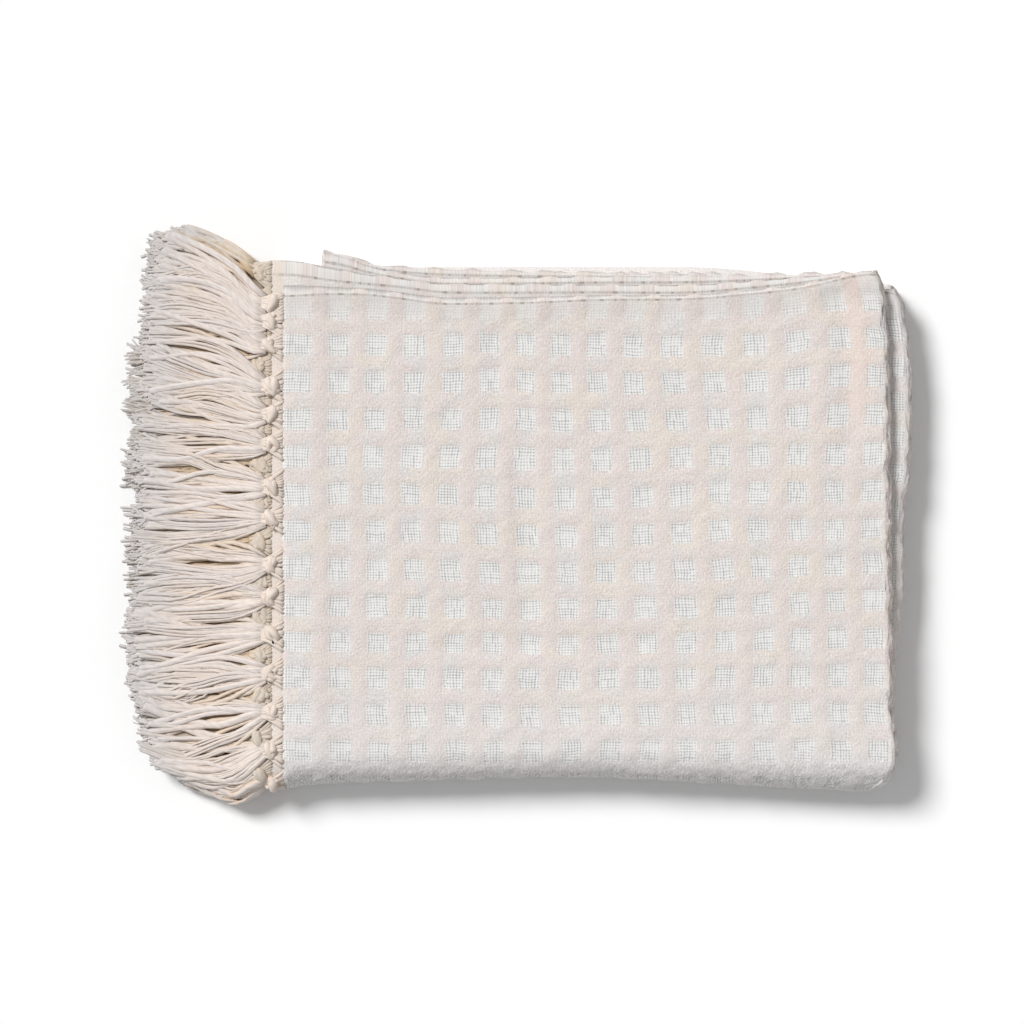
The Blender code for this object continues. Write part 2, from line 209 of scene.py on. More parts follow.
# Where the weave of the top is pulled out of true: the middle of a soft patch as distances along
# and across the cloth, its half sizes, and how far the weave there is moved along and across.
Pulled = namedtuple("Pulled", "along across half_along half_across by_along by_across")
PULLED_WEAVE = (
    Pulled(0.225, 0.056, 0.075, 0.055, 0.0068, 0.0),
    Pulled(0.105, 0.146, 0.080, 0.055, 0.0042, 0.0),
    Pulled(0.290, 0.231, 0.070, 0.060, -0.0028, 0.0),
    Pulled(0.190, 0.200, 0.090, 0.070, 0.0, -0.0045),
    Pulled(0.362, 0.051, 0.035, 0.060, -0.0045, 0.0022),
)
UNLIFTED_FROM_TO = (0.33, 0.45)

# The grid of the sheet: base cells, some of them refined.
FINE = 4
FADE, SHORT_FADE = 3, 1.5
STEPS = {"edge": 3, "top": 39, "outer_turn": 8, "hidden": 14, "pin": 4, "inner_turn": 6}
PATH_STEPS = (36, 12, 24, 8, 16, 12, 24)

# Soft troughs pressed into the top: ends of the line, half width and depth.
Trough = namedtuple("Trough", "x0 y0 x1 y1 half_width depth")
TROUGHS = (
    Trough(0.358, 0.142, 0.362, 0.048, 0.0080, 0.0011),
    Trough(0.155, 0.050, 0.153, -0.080, 0.0090, 0.0006),
    Trough(0.135, 0.112, 0.139, 0.066, 0.0080, 0.0006),
    Trough(0.105, -0.086, 0.226, -0.084, 0.0080, 0.0006),
)

# The fringe. Where its tassels hang repeats the solids' own values.
Tassel = namedtuple("Tassel", "distance quarter")
TASSELS_A_QUARTER = 14
TASSEL_WANDER = 0.0018
SEED, NEAR_SEED, FAR_SEED = 11, 5, 6
TOP_TASSELS = {
    "A1": (
        (0.0063, 0.0185, 0.0345, 0.0620, 0.0810, 0.1010, 0.1300, 0.1510)
        + (0.1820, 0.2040, 0.2290, 0.2560, 0.2820, 0.3080, 0.3330)
    ),
    "B1": (
        (0.0065, 0.0240, 0.0440, 0.0640, 0.0860, 0.1050, 0.1270, 0.1500)
        + (0.1750, 0.2010, 0.2220, 0.2480, 0.2730, 0.3000, 0.3240)
    ),
}


def steady_slopes(x, y):
    """A slope at each row of a table for a smooth curve that never overshoots its rows."""
    steps = np.diff(x)
    rises = np.diff(y) / steps
    slopes = np.zeros_like(y)
    for i in range(1, len(y) - 1):
        if rises[i - 1] * rises[i] > 0:
            before = 2 * steps[i] + steps[i - 1]
            after = steps[i] + 2 * steps[i - 1]
            slopes[i] = (before + after) / (before / rises[i - 1] + after / rises[i])
    return slopes


def read(table, column, at):
    """The named column at values of the first one, on a smooth curve through the rows."""
    names, *rows = table
    x, y = (np.array([row[place] for row in rows]) for place in (0, names.index(column)))
    slopes = steady_slopes(x, y)
    at = np.clip(at, x[0], x[-1])
    place = np.clip(np.searchsorted(x, at, side="right") - 1, 0, len(x) - 2)
    step = x[place + 1] - x[place]
    t = (at - x[place]) / step
    rise = (1 + 2 * t) * (1 - t) ** 2 * y[place] + t**2 * (3 - 2 * t) * y[place + 1]
    lean = t * (1 - t) ** 2 * slopes[place] + t**2 * (t - 1) * slopes[place + 1]
    return rise + step * lean


def selvedge_pull(x, offset):
    """How far the selvedge of the top run is drawn in, for a layer at this offset."""
    pulls = np.stack([read(SELVEDGE_PULL, layer, x) for layer in LAYERS])
    level = np.clip(offset / LAYER_PITCH, 0, len(LAYERS) - 1)
    low = np.minimum(level.astype(int), len(LAYERS) - 2)
    share = level - low
    columns = np.arange(len(x))
    return pulls[low, columns] * (1 - share) + pulls[low + 1, columns] * share


def fold_points(stage, offset, x):
    """(y, z) of points at stages of the path, where piece i runs from stage i to i + 1."""
    y, z = np.zeros_like(stage), np.zeros_like(stage)
    index = np.minimum(stage.astype(int), len(PATH) - 1)
    for i, piece in enumerate(PATH):
        here = index == i
        share, off = stage[here] - i, offset[here]
        level = piece.level * LAYER_PITCH - FLOOR_SHIFT
        if piece.kind == "arc":
            angle = np.radians(piece.start + (piece.end - piece.start) * share)
            radius = piece.radius * LAYER_PITCH + piece.side * off
            y[here] = piece.y + radius * np.cos(angle)
            z[here] = level + radius * np.sin(angle)
        else:
            start = piece.start - (selvedge_pull(x[here], off) if i == 0 else 0)
            y[here] = start + (piece.end - start) * share
            z[here] = level + piece.side * off
    return y, z


def piece_lengths(offset):
    """The length of each piece of the path at this offset."""
    lengths = []
    for piece in PATH:
        if piece.kind == "arc":
            lengths.append(math.pi * (piece.radius * LAYER_PITCH + piece.side * offset))
        else:
            lengths.append(abs(piece.end - piece.start))
    return lengths


def running_total(values):
    return np.concatenate([[0.0], np.cumsum(values)])


def length_at(stage, offset):
    """The distance along the path of a stage of it. stage_at is the other way round."""
    ends = running_total(piece_lengths(offset))
    return np.interp(stage, range(len(ends)), ends)


def stage_at(length, offset):
    ends = running_total(piece_lengths(offset))
    return np.interp(length, ends, range(len(ends)))


def settle(x, y, z, under):
    """Moves points of the neat folded stack to where the loosely folded one has them.

    under is true for what lies below the top run.
    """
    toward_right = np.clip(x / TURN_X, 0, 1)
    toward_top = np.clip((y + HALF_RUN) / RUN, 0, 1)
    right = read(ALONG_RIGHT, "lean", y) + under * read(ALONG_RIGHT, "lower_runs_out", y)
    pull = read(ALONG_BOTTOM, "lift", x) * (1 - toward_top)
    pull = pull - under * read(LOWER_CORNER, "pull", x) * toward_top
    droop = read(ALONG_FRINGE, "droop", x)
    fan = read(ALONG_FRINGE, "fan", x)
    past_knots = np.maximum(KNOT_REACH - x, 0)
    corner = np.clip((x - ROUND_CORNERS_FROM_X) / (TURN_X - ROUND_CORNERS_FROM_X), 0, 1)
    right_end = toward_right * right - corner * read(ROUND_CORNERS, "drawn_in", y)
    swell = np.sin(math.tau * x / SWELL_LENGTH) * np.cos(math.tau * y / SWELL_WIDTH)
    height = z * (1 - droop) + read(TIP_LEVELS, "at_tips", z) * droop
    return np.stack(
        [
            x + right_end + past_knots * (1 - read(ACROSS_FRINGE, "reach", y)),
            y + pull + fan * read(ACROSS_FRINGE, "swing", y),
            height * (1 + SWELL * toward_right * swell),
        ],
        axis=-1,
    )


def world_shift():
    """From fold space to the frame, found from the box of the cloth's solid."""
    low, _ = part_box("cloth")
    lift = float(read(ALONG_BOTTOM, "lift", np.array([TURN_X]))[0])
    bottom_edge = lift - HALF_RUN - (OUTER_RADIUS + 3) * LAYER_PITCH - SHEET / 2
    return np.array([low[0] + B_REACH, low[1] - bottom_edge, 0.0])


SHIFT = world_shift()


def lay(stage, offset, x, off_offset=0.0, off_x=0.0):
    """Points in the frame of places on the folded stack, and a little off them."""
    under = fold_points(stage, offset, x)[1] < UNDER_TOP_RUN
    y, z = fold_points(stage, offset + off_offset, x + off_x)
    return settle(x + off_x, y, z, under) + SHIFT


NOISE_TABLE = 256


def soft_noise(x, y, size, seed):
    """Smooth uneven values from -1 to 1, in patches about as wide as size."""
    table = np.random.default_rng(seed).uniform(-1, 1, (NOISE_TABLE, NOISE_TABLE))
    gx, gy = np.asarray(x) / size, np.asarray(y) / size
    ix, iy = np.floor(gx).astype(int), np.floor(gy).astype(int)
    fx, fy = gx - ix, gy - iy
    fx, fy = fx * fx * (3 - 2 * fx), fy * fy * (3 - 2 * fy)

    def corner(a, b):
        return table[(ix + a) % NOISE_TABLE, (iy + b) % NOISE_TABLE]

    low = corner(0, 0) * (1 - fx) + corner(1, 0) * fx
    high = corner(0, 1) * (1 - fx) + corner(1, 1) * fx
    return low * (1 - fy) + high * fy


def uneven(x, y, rows):
    """The sum of soft noises, each a row of how far, how wide and which seed."""
    return sum(amount * soft_noise(x, y, size, seed) for amount, size, seed in rows)


def rise_between(value, low, high):
    """0 below low, 1 above high, and a smooth rise between."""
    t = np.clip((value - low) / (high - low), 0, 1)
    return t * t * (3 - 2 * t)


# ---------------------------------------------------------------- the cloth's sheet


def finer(stops):
    """Each step of a list of stops cut into FINE equal ones."""
    places = np.arange((len(stops) - 1) * FINE + 1) / FINE
    return np.interp(places, np.arange(len(stops)), stops)


def straight_part(start, end, steps, offset, outward):
    x = finer(np.linspace(start, end, steps + 1))
    flat = np.zeros_like(x)
    return np.stack([x, flat + offset, flat, flat + outward], axis=1)


def turn_part(x, radius_layers, start, end, steps, outward):
    """An arc of the section about the middle of its turn. outward is 1 or -1."""
    centre = TURN_LAYERS if x == TURN_X else PIN_LAYERS
    angle = np.radians(finer(np.linspace(start, end, steps + 1)))
    radius = radius_layers * LAYER_PITCH
    return np.stack(
        [
            x + radius * np.cos(angle),
            centre * LAYER_PITCH + radius * np.sin(angle),
            outward * np.cos(angle),
            outward * np.sin(angle),
        ],
        axis=1,
    )


def section():
    """(x, offset, outward x, outward offset) along the cloth, from the near fringe to the far."""
    hidden = STEPS["hidden"]
    parts = [
        straight_part(0.0, PIN_X, STEPS["edge"], OFFSETS["A1"], 1),
        straight_part(PIN_X, TURN_X, STEPS["top"], OFFSETS["A1"], 1),
        turn_part(TURN_X, TURN_LAYERS, 90, -90, STEPS["outer_turn"], 1),
        straight_part(TURN_X, PIN_X, hidden, OFFSETS["A2"], -1),
        turn_part(PIN_X, PIN_LAYERS, -90, -270, STEPS["pin"], 1),
        straight_part(PIN_X, TURN_X, hidden, OFFSETS["B2"], 1),
        turn_part(TURN_X, PIN_LAYERS, -90, 90, STEPS["inner_turn"], -1),
        straight_part(TURN_X, PIN_X, hidden, OFFSETS["B1"], -1),
        straight_part(PIN_X, 0.0, STEPS["edge"], OFFSETS["B1"], -1),
        straight_part(0.0, -B_REACH, 1, OFFSETS["B1"], -1),
    ]
    return np.concatenate([parts[0]] + [part[1:] for part in parts[1:]])


def path_places():
    stops = [0.0]
    for index, steps in enumerate(PATH_STEPS):
        stops += [index + step / steps for step in range(1, steps + 1)]
    return finer(np.array(stops))


SECTION = section()
STAGES = path_places()
ALONG = running_total(np.linalg.norm(np.diff(SECTION[:, :2], axis=0), axis=1))
COLUMNS, ROWS = (len(SECTION) - 1) // FINE, (len(STAGES) - 1) // FINE
TOP_END = STEPS["edge"] + STEPS["top"]
TURN_END = TOP_END + STEPS["outer_turn"]
RUN_END = PATH_STEPS[0]
FOLD_END = RUN_END + PATH_STEPS[1]
FLOOR_END = FOLD_END + PATH_STEPS[2]


def cell_level(column, row):
    """How finely a base cell is cut: FINE where it is seen, 2 underneath, 1 inside."""
    if column < TURN_END and row < FOLD_END:
        return FINE
    if TOP_END <= column < TURN_END:
        return FINE
    if column < TURN_END and row < FLOOR_END + PATH_STEPS[3]:
        return 2
    return 1


def edge_steps(start, end, step):
    """Places from start up to, but not with, end."""
    return range(start, end, step if end > start else -step)


def cell_polygons(column, row, levels):
    """The polygons of a base cell as lattice places. Edges match finer neighbours."""

    def level(i, j):
        inside = 0 <= i < COLUMNS and 0 <= j < ROWS
        return levels[i, j] if inside else FINE

    own = levels[column, row]
    step = FINE // own
    left, right, low, high = (
        FINE // max(own, level(column + i, row + j))
        for i, j in ((-1, 0), (1, 0), (0, -1), (0, 1))
    )
    for a in range(own):
        for b in range(own):
            x0, y0 = column * FINE + a * step, row * FINE + b * step
            x1, y1 = x0 + step, y0 + step
            polygon = [(x, y0) for x in edge_steps(x0, x1, low if b == 0 else step)]
            polygon += [(x1, y) for y in edge_steps(y0, y1, right if a == own - 1 else step)]
            polygon += [(x, y1) for x in edge_steps(x1, x0, high if b == own - 1 else step)]
            polygon += [(x0, y) for y in edge_steps(y1, y0, left if a == 0 else step)]
            yield polygon


def border_loop():
    """The lattice places round the edge of the sheet, in order."""
    last_x, last_y = COLUMNS * FINE, ROWS * FINE
    loop = [(x, 0) for x in range(last_x)]
    loop += [(last_x, y) for y in range(last_y)]
    loop += [(x, last_y) for x in range(last_x, 0, -1)]
    return loop + [(0, y) for y in range(last_y, 0, -1)]


def sheet_lattice():
    """Polygons of the sheet as (x, y, side) places: side 1 in front, -1 behind, 0 on the rim."""
    levels = np.array([[cell_level(i, j) for j in range(ROWS)] for i in range(COLUMNS)])
    plain = np.ones_like(levels)
    polygons = []
    for column in range(COLUMNS):
        for row in range(ROWS):
            for polygon in cell_polygons(column, row, levels):
                polygons.append([(x, y, 1) for x, y in reversed(polygon)])
            for polygon in cell_polygons(column, row, plain):
                polygons.append([(x, y, -1) for x, y in polygon])
    loop = border_loop()
    for here, there in zip(loop, loop[1:] + loop[:1]):
        for near, far in ((1, 0), (0, -1)):
            polygons.append([(*here, near), (*there, near), (*there, far), (*here, far)])
    return polygons


def pulled_places(along, across):
    """Distances along and across the cloth, moved by the soft patches of the pulled weave."""
    by_along, by_across = np.zeros_like(along), np.zeros_like(across)
    for patch in PULLED_WEAVE:
        away = ((along - patch.along) / patch.half_along) ** 2
        away += ((across - patch.across) / patch.half_across) ** 2
        by_along += patch.by_along * np.exp(-away)
        by_across += patch.by_across * np.exp(-away)
    return along + by_along, across + by_across


def weave_places(x, y):
    """The weave's own coordinates of lattice places, in cells, and the cells from the selvedge."""
    stage, offset, across, along = STAGES[y], SECTION[x, 1], SECTION[x, 0], ALONG[x]
    level = np.clip(offset / (3 * LAYER_PITCH), 0, 1)
    inner, outer = piece_lengths(0.0), piece_lengths(3 * LAYER_PITCH)
    width = np.zeros_like(along)
    for i in range(len(PATH)):
        share = np.clip(stage - i, 0, 1)
        width += share * (inner[i] * (1 - level) + outer[i] * level)
    from_selvedge = width / CELL_WIDTH
    top_run = np.clip(1 - stage, 0, 1)
    lift = read(ALONG_BOTTOM, "lift", across) * np.clip(width / RUN, 0, 1)
    lift *= 1 - rise_between(width, *UNLIFTED_FROM_TO)
    width = width + selvedge_pull(across, offset) * top_run
    along, width = pulled_places(along, width)
    width += ROWS_RISE * rise_between(across, *ROWS_RISE_FROM_TO_X) * top_run - lift
    for row in WAVES_ALONG:
        along = along + uneven(along, width, [row])
    for row in WAVES_ACROSS:
        width = width + uneven(along, width, [row])
    return along / CELL_LENGTH, (width - SELVEDGE_MARGIN) / CELL_WIDTH, from_selvedge


def seen(x, y):
    """1 where the front of the sheet is finely cut, fading to 0 towards its border."""
    column, row = x / FINE, y / FINE
    on_turn = rise_between(column, TOP_END, TOP_END + FADE)
    rows = 1 - rise_between(row, FOLD_END - SHORT_FADE, FOLD_END)
    ends = 1 - rise_between(column, TURN_END - FADE, TURN_END)
    return np.maximum(rows, on_turn) * ends


def trough_depth(x, y):
    depth = np.zeros_like(x)
    for trough in TROUGHS:
        run_x, run_y = trough.x1 - trough.x0, trough.y1 - trough.y0
        share = ((x - trough.x0) * run_x + (y - trough.y0) * run_y) / (run_x**2 + run_y**2)
        inside = np.clip(share, 0, 1)
        away = np.hypot(x - trough.x0 - inside * run_x, y - trough.y0 - inside * run_y)
        depth += trough.depth * np.exp(-((away / trough.half_width) ** 2))
    return depth


def off_middle(cells):
    """The distance of a weave coordinate from the middle of its cell."""
    return np.abs(cells - np.floor(cells) - 0.5)


def front_rise(x, y, u, v):
    """How far the front stands off the middle of the sheet."""
    band = rise_between(np.maximum(off_middle(u), off_middle(v)), *BAND_FROM_TO)
    relief = band * (BAND_RISE + uneven(u, v, FLUFF)) - (1 - band) * SQUARE_DIP
    relief += uneven(u, v, LEAN)
    fold_y = fold_points(STAGES[y], SECTION[x, 1], SECTION[x, 0])[0]
    on_top = (STAGES[y] <= 1) * (x <= TOP_END * FINE)
    relief -= on_top * trough_depth(SECTION[x, 0], fold_y)
    return SHEET / 2 + seen(x, y) * relief


def selvedge_bulge(u, v):
    """How far the rim stands out: knobs where the bands end, and thin between them."""
    at_band = rise_between(off_middle(u), *KNOB_FROM_TO)
    return RIM_BULGE + KNOB_BULGE * at_band + uneven(u, v, UNEVEN_RIM)


def on_part(place, start, end, before):
    """1 from base cell start to end, with soft ends. before is how far before it begins."""
    return rise_between(place, start - before, start + FADE) * (
        1 - rise_between(place, end - FADE, end + 1)
    )


def edge_waviness(x, y, v, u):
    """Scallops with the squares and ragged bumps on the folded right end and the near fold."""
    on_turn = on_part(x / FINE, TOP_END, TURN_END, 2)
    on_fold = on_part(y / FINE, RUN_END, FOLD_END, 1)
    scallops = SCALLOP * np.cos(math.tau * v) + uneven(v, STAGES[y], UNEVEN_SCALLOPS)
    right = on_turn * (scallops + uneven(v, x / FINE, RAGGED))
    return np.stack([right, -on_fold * uneven(u, v, LUMPS), np.zeros_like(right)], axis=1)


def sheet_points(places):
    """Points in the frame, and weave coordinates, of (x, y, side) places."""
    x, y, side = places.T
    u, v, from_selvedge = weave_places(x, y)
    rise = np.where(side > 0, front_rise(x, y, u, v), side * SHEET / 2)
    across, offset, out_x, out_offset = SECTION[x].T
    on_end_rows = (y == 0) | (y == ROWS * FINE)
    on_end_columns = (x == 0) | (x == COLUMNS * FINE)
    rise = np.where((on_end_rows | on_end_columns) & (side != 0), rise * RIM_SHARE, rise)
    stage = STAGES[y]
    points = lay(stage, offset, across, out_offset * rise, out_x * rise)
    bulge = np.where(side == 0, selvedge_bulge(u, v), 0.0)
    outward = np.where(y == 0, 1.0, 0.0) + np.where(y == ROWS * FINE, 1.0, 0.0)
    points[:, 1] += bulge * outward
    points[:, 0] -= np.where(on_end_columns & (side == 0), END_BULGE, 0.0)
    points += edge_waviness(x, y, v, u)
    points[:, 2] = np.maximum(points[:, 2], 0.0)
    return points, u, v, from_selvedge


def set_uvs(mesh, name, u, v):
    """Gives each corner the (u, v) of its vertex."""
    corners = np.empty(len(mesh.loops), dtype=np.int32)
    mesh.loops.foreach_get("vertex_index", corners)
    layer = mesh.uv_layers.new(name=name)
    layer.uv.foreach_set("vector", np.stack([u[corners], v[corners]], axis=1).ravel())


def add_object(name, points, faces, material, maps=()):
    """A mesh object of one material, shaded smooth if it has maps: each a name, u and v."""
    mesh = bpy.data.meshes.new(name)
    mesh.from_pydata(points, [], faces)
    for map_name, u, v in maps:
        set_uvs(mesh, map_name, u, v)
    mesh.materials.append(material)
    if maps:
        mesh.shade_smooth()
    return link_object(name, mesh)


def link_object(name, data):
    made = bpy.data.objects.new(name, data)
    bpy.context.scene.collection.objects.link(made)
    return made


def make_cloth(material):
    polygons = sheet_lattice()
    numbers = {}
    faces = [[numbers.setdefault(place, len(numbers)) for place in face] for face in polygons]
    points, u, v, from_selvedge = sheet_points(np.array(list(numbers)))
    maps = (("weave", u, v), ("edge", u, from_selvedge))
    return add_object("woven_panel", points.tolist(), faces, material, maps)


# ---------------------------------------------------------------- the fringe


def tassels_of(layer):
    """The tassels of a layer, by distance along its edge, where the solids have them."""
    offset = OFFSETS[layer]
    chance = random.Random(SEED + round(offset / LAYER_PITCH))
    tassels = [Tassel(distance, 0) for distance in TOP_TASSELS[layer]]
    for quarter in range(1, len(QUARTER_STAGES) - 1):
        low = length_at(QUARTER_STAGES[quarter], offset)
        step = (length_at(QUARTER_STAGES[quarter + 1], offset) - low) / TASSELS_A_QUARTER
        for i in range(TASSELS_A_QUARTER):
            wander = chance.uniform(-TASSEL_WANDER, TASSEL_WANDER)
            beside_turn = i in (0, TASSELS_A_QUARTER - 1)
            distance = low + (i + 0.5) * step + (0 if beside_turn else wander)
            tassels.append(Tassel(distance, quarter))
    return tassels


FRAYS_FROM, OPENS_UP = 0.94, 0.12
KNOT_X, KNOT_HALF_LENGTH = 0.0072, 0.0040
CORNER_SWEEP, SWEPT_FROM_TO_Y, NOT_SWEPT_FROM_TO_Y = 0.0085, (0.120, 0.136), (0.142, 0.155)
NEAR_SAG, SAGS_FROM_TO_Y = 0.0085, (-0.105, -0.155)
LOOSER_FROM_TO = (0.17, 0.27)
YARN_WIDE, YARN_TALL = 1.15, 0.72
OPENS_FROM_TO, TIP_ROUNDED, ROOT_ROUNDED = (0.55, 0.90), 0.35, 0.25
BESIDE_KNOTS, PAST_SLOT, FROM_CLOTH, BESIDE_RISE = 2.5, 0.40, -0.11, -0.0015
ROLL_SHORTER, ROLL_THICKER, ROLL_CLOSER, ROLL_HEIGHT = 0.004, 1.25, 0.36, 0.0018
ROOT_SPREAD, TIP_SPREAD, SPREAD_POWER = 0.0048, 0.0130, 4.5
SWAY_POWER, SECOND_WAVE, SECOND_TURNS, HUMP_POWER, DROP_TURNS = 1.7, 0.20, 2.7, 0.7, 1.3

# How many, as (in the lower tassels, in the top ones). The rest of the yarns' numbers are
# ranges to draw from, usual sizes of what is drawn about 0, and shares.
SLOTS, SIDES, POINTS, RIBBON, FRAYED = (7, 11), (6, 8), (8, 12), (3, 6), (1, 6)
CORDS, COILS, KNOT_TALL = (5, 11), (1, 2), (0.55, 1.0)
THICK_YARNS, TASSEL_LENGTH = (5, 10), 0.0042
THICK_RADIUS, FAT, FAT_SHARE = (0.0011, 0.0019), 1.35, 0.25
THICK_TIP, SWAY, WILD, WILD_SHARE = 0.0026, 0.0042, 2.3, 0.20
WAVE, TURNS, DROP, LENGTH = (0.0008, 0.0036), (0.35, 0.95), (-0.0009, 0.0009), (-0.005, 0.001)
LEAST_RISE, MORE_RISE, LOWER_RISE = 0.0004, 0.0023, (-0.0008, 0.0008)
LOWER_YARNS_SHADED, ANY_TONE = 0.40, 0.22
THIN_SIDES, THIN_RADIUS = 5, (0.0006, 0.0010)
THIN_ROOT, THIN_SPREAD, THIN_TIP = 0.0008, 0.0030, 0.0005
THIN_RISE, THIN_PHASE, THIN_LENGTH = (-0.0002, 0.0009), 0.15, (-0.0025, 0.0025)
THIN_TONE_KEPT, THIN_TONE_MORE = 0.8, 0.3
FRAY_SIDES, FRAY_POINTS, FRAY_RADIUS, SPLAY = 4, 5, (0.0005, 0.0009), 0.0020
FRAY_START, FRAY_END, FRAY_RISE = (0.82, 0.90), (0.97, 1.02), (-0.0004, 0.0010)
FILLING, FILL_POINTS, FILL_RADIUS, FILL_ROOT, FILL_SPREAD = 11, 9, (0.0010, 0.0015), 0.0052, 0.0165
FILL_TIP, FILL_SWAY, FILL_RISE = 0.0020, 0.0030, (-0.0003, 0.0012)
FILL_LENGTH, FILL_SHADE_TONE = (-0.012, -0.003), (0.8, 1.0)
Yarn = namedtuple(
    "Yarn", "radius sides points root tip sway wave turns phase rise drop length tone start end splay"
)


def thick_yarn(chance, slot, top, looser):
    """One soft thick yarn, from its knot to its tip. looser is 1 in the untidiest tassels."""
    rise = chance.uniform(0.0, 1.0)
    fat = FAT if chance.random() < FAT_SHARE * looser else 1.0
    return Yarn(
        radius=chance.uniform(*THICK_RADIUS) * fat,
        sides=SIDES[top],
        points=POINTS[top],
        root=slot * ROOT_SPREAD,
        tip=slot * TIP_SPREAD + chance.normal(0, THICK_TIP),
        sway=chance.normal(0, SWAY) * (WILD if chance.random() < WILD_SHARE else 1.0),
        wave=chance.uniform(*WAVE) * (1 + looser),
        turns=chance.uniform(*TURNS),
        phase=chance.uniform(0, math.tau),
        rise=LEAST_RISE + MORE_RISE * rise if top else chance.uniform(*LOWER_RISE),
        drop=chance.uniform(*DROP),
        length=chance.uniform(*LENGTH),
        # Lower yarns get more of the warm tone, as painted shade; the rest of it differs at random.
        tone=LOWER_YARNS_SHADED * (1 - rise) + ANY_TONE * chance.random(),
        start=0.0,
        end=FRAYS_FROM,
        splay=0.0,
    )


def thin_yarn(chance, lock, place):
    """One of a ribbon of thin yarns that lie side by side, at its place from -1 to 1."""
    return lock._replace(
        radius=chance.uniform(*THIN_RADIUS),
        sides=THIN_SIDES,
        root=lock.root + place * THIN_ROOT,
        tip=lock.tip + place * THIN_SPREAD + chance.normal(0, THIN_TIP),
        rise=lock.rise + chance.uniform(*THIN_RISE),
        phase=lock.phase + chance.normal(0, THIN_PHASE),
        length=lock.length + chance.uniform(*THIN_LENGTH),
        end=1.0,
        tone=min(lock.tone * THIN_TONE_KEPT + THIN_TONE_MORE * chance.random(), 1.0),
    )


def frayed_end(chance, yarn):
    """A fine fibre of a yarn's open end."""
    return yarn._replace(
        radius=chance.uniform(*FRAY_RADIUS),
        sides=FRAY_SIDES,
        points=FRAY_POINTS,
        start=chance.uniform(*FRAY_START),
        end=chance.uniform(*FRAY_END),
        splay=chance.normal(0, SPLAY),
        rise=yarn.rise + chance.uniform(*FRAY_RISE),
    )


def filling_yarn(chance, lock, slot):
    """One that spreads out under a tassel's visible yarns and fills the gap to the next tassel."""
    return lock._replace(
        radius=chance.uniform(*FILL_RADIUS),
        sides=THIN_SIDES,
        points=FILL_POINTS,
        root=slot * FILL_ROOT,
        tip=slot * FILL_SPREAD + chance.normal(0, FILL_TIP),
        sway=chance.normal(0, FILL_SWAY),
        phase=chance.uniform(0, math.tau),
        rise=chance.uniform(*FILL_RISE),
        length=chance.uniform(*FILL_LENGTH),
        # Mostly the warm tone: painted shade in the gap to the next tassel.
        tone=chance.uniform(*FILL_SHADE_TONE),
        end=1.0,
    )


def tassel_yarns(chance, top, looser):
    """The yarns of one tassel. Some tassels are mostly thick yarns, others mostly thin."""
    slots = chance.permutation(np.linspace(-1, 1, SLOTS[top]))
    thick = chance.integers(*THICK_YARNS) if top else THICK_YARNS[0]
    shift = chance.normal(0, TASSEL_LENGTH)
    yarns = []
    for number, slot in enumerate(slots):
        lock = thick_yarn(chance, slot, top, looser)
        if number < thick:
            yarns.append(lock)
            yarns += [frayed_end(chance, lock) for _ in range(FRAYED[top])]
        else:
            places = np.linspace(-1, 1, RIBBON[top])
            yarns += [thin_yarn(chance, lock, place) for place in places]
    if top:
        yarns += [filling_yarn(chance, lock, slot) for slot in np.linspace(-1, 1, FILLING)]
    return [yarn._replace(length=yarn.length + shift) for yarn in yarns]


def beside_knots(yarns):
    """The outer yarns of a tassel led past its knot, so that they lie in the gaps, in the warm tone
    of painted shade.
    """
    led = []
    for yarn in yarns:
        outer = abs(yarn.root) > PAST_SLOT * ROOT_SPREAD and yarn.start == 0
        wide = yarn._replace(
            root=yarn.root * BESIDE_KNOTS, rise=BESIDE_RISE, start=FROM_CLOTH, tone=1.0
        )
        led.append(wide if outer else yarn)
    return led


def short_roll(yarns):
    """A tassel that has curled into a short thick roll, lower on its inner side and painted darker
    there as shade.
    """
    return [
        yarn._replace(
            radius=yarn.radius * ROLL_THICKER,
            tip=yarn.tip * ROLL_CLOSER,
            rise=-ROLL_HEIGHT if yarn.tip > 0 else ROLL_HEIGHT,
            length=yarn.length - ROLL_SHORTER,
            tone=1.0 if yarn.tip > 0 else 0.0,
        )
        for yarn in yarns
    ]


def loose_sweep(root_y, share):
    """How far yarns sweep across: up at the first tassel, and sagging over the near fold."""
    swept = rise_between(root_y, *SWEPT_FROM_TO_Y)
    swept *= 1 - rise_between(root_y, *NOT_SWEPT_FROM_TO_Y)
    share = np.clip(share, 0, 1)
    sag = rise_between(-root_y, *[-y for y in SAGS_FROM_TO_Y]) * np.sin(math.pi * share**0.8)
    return CORNER_SWEEP * swept * share - NEAR_SAG * sag


def yarn_shares(points):
    """Even places along a yarn, and one more just past the last to round its cut end."""
    return np.append(np.linspace(0, 0.985, points - 1), 1.0)[None, :]


def off_the_stack(stage, offset, x):
    """Points on a layer, and the directions straight up from it."""
    offsets = np.full(stage.shape, offset)
    base = lay(stage, offsets, x)
    up = lay(stage, offsets, x, off_offset=0.0004) - base
    return base, up / np.linalg.norm(up, axis=1, keepdims=True)


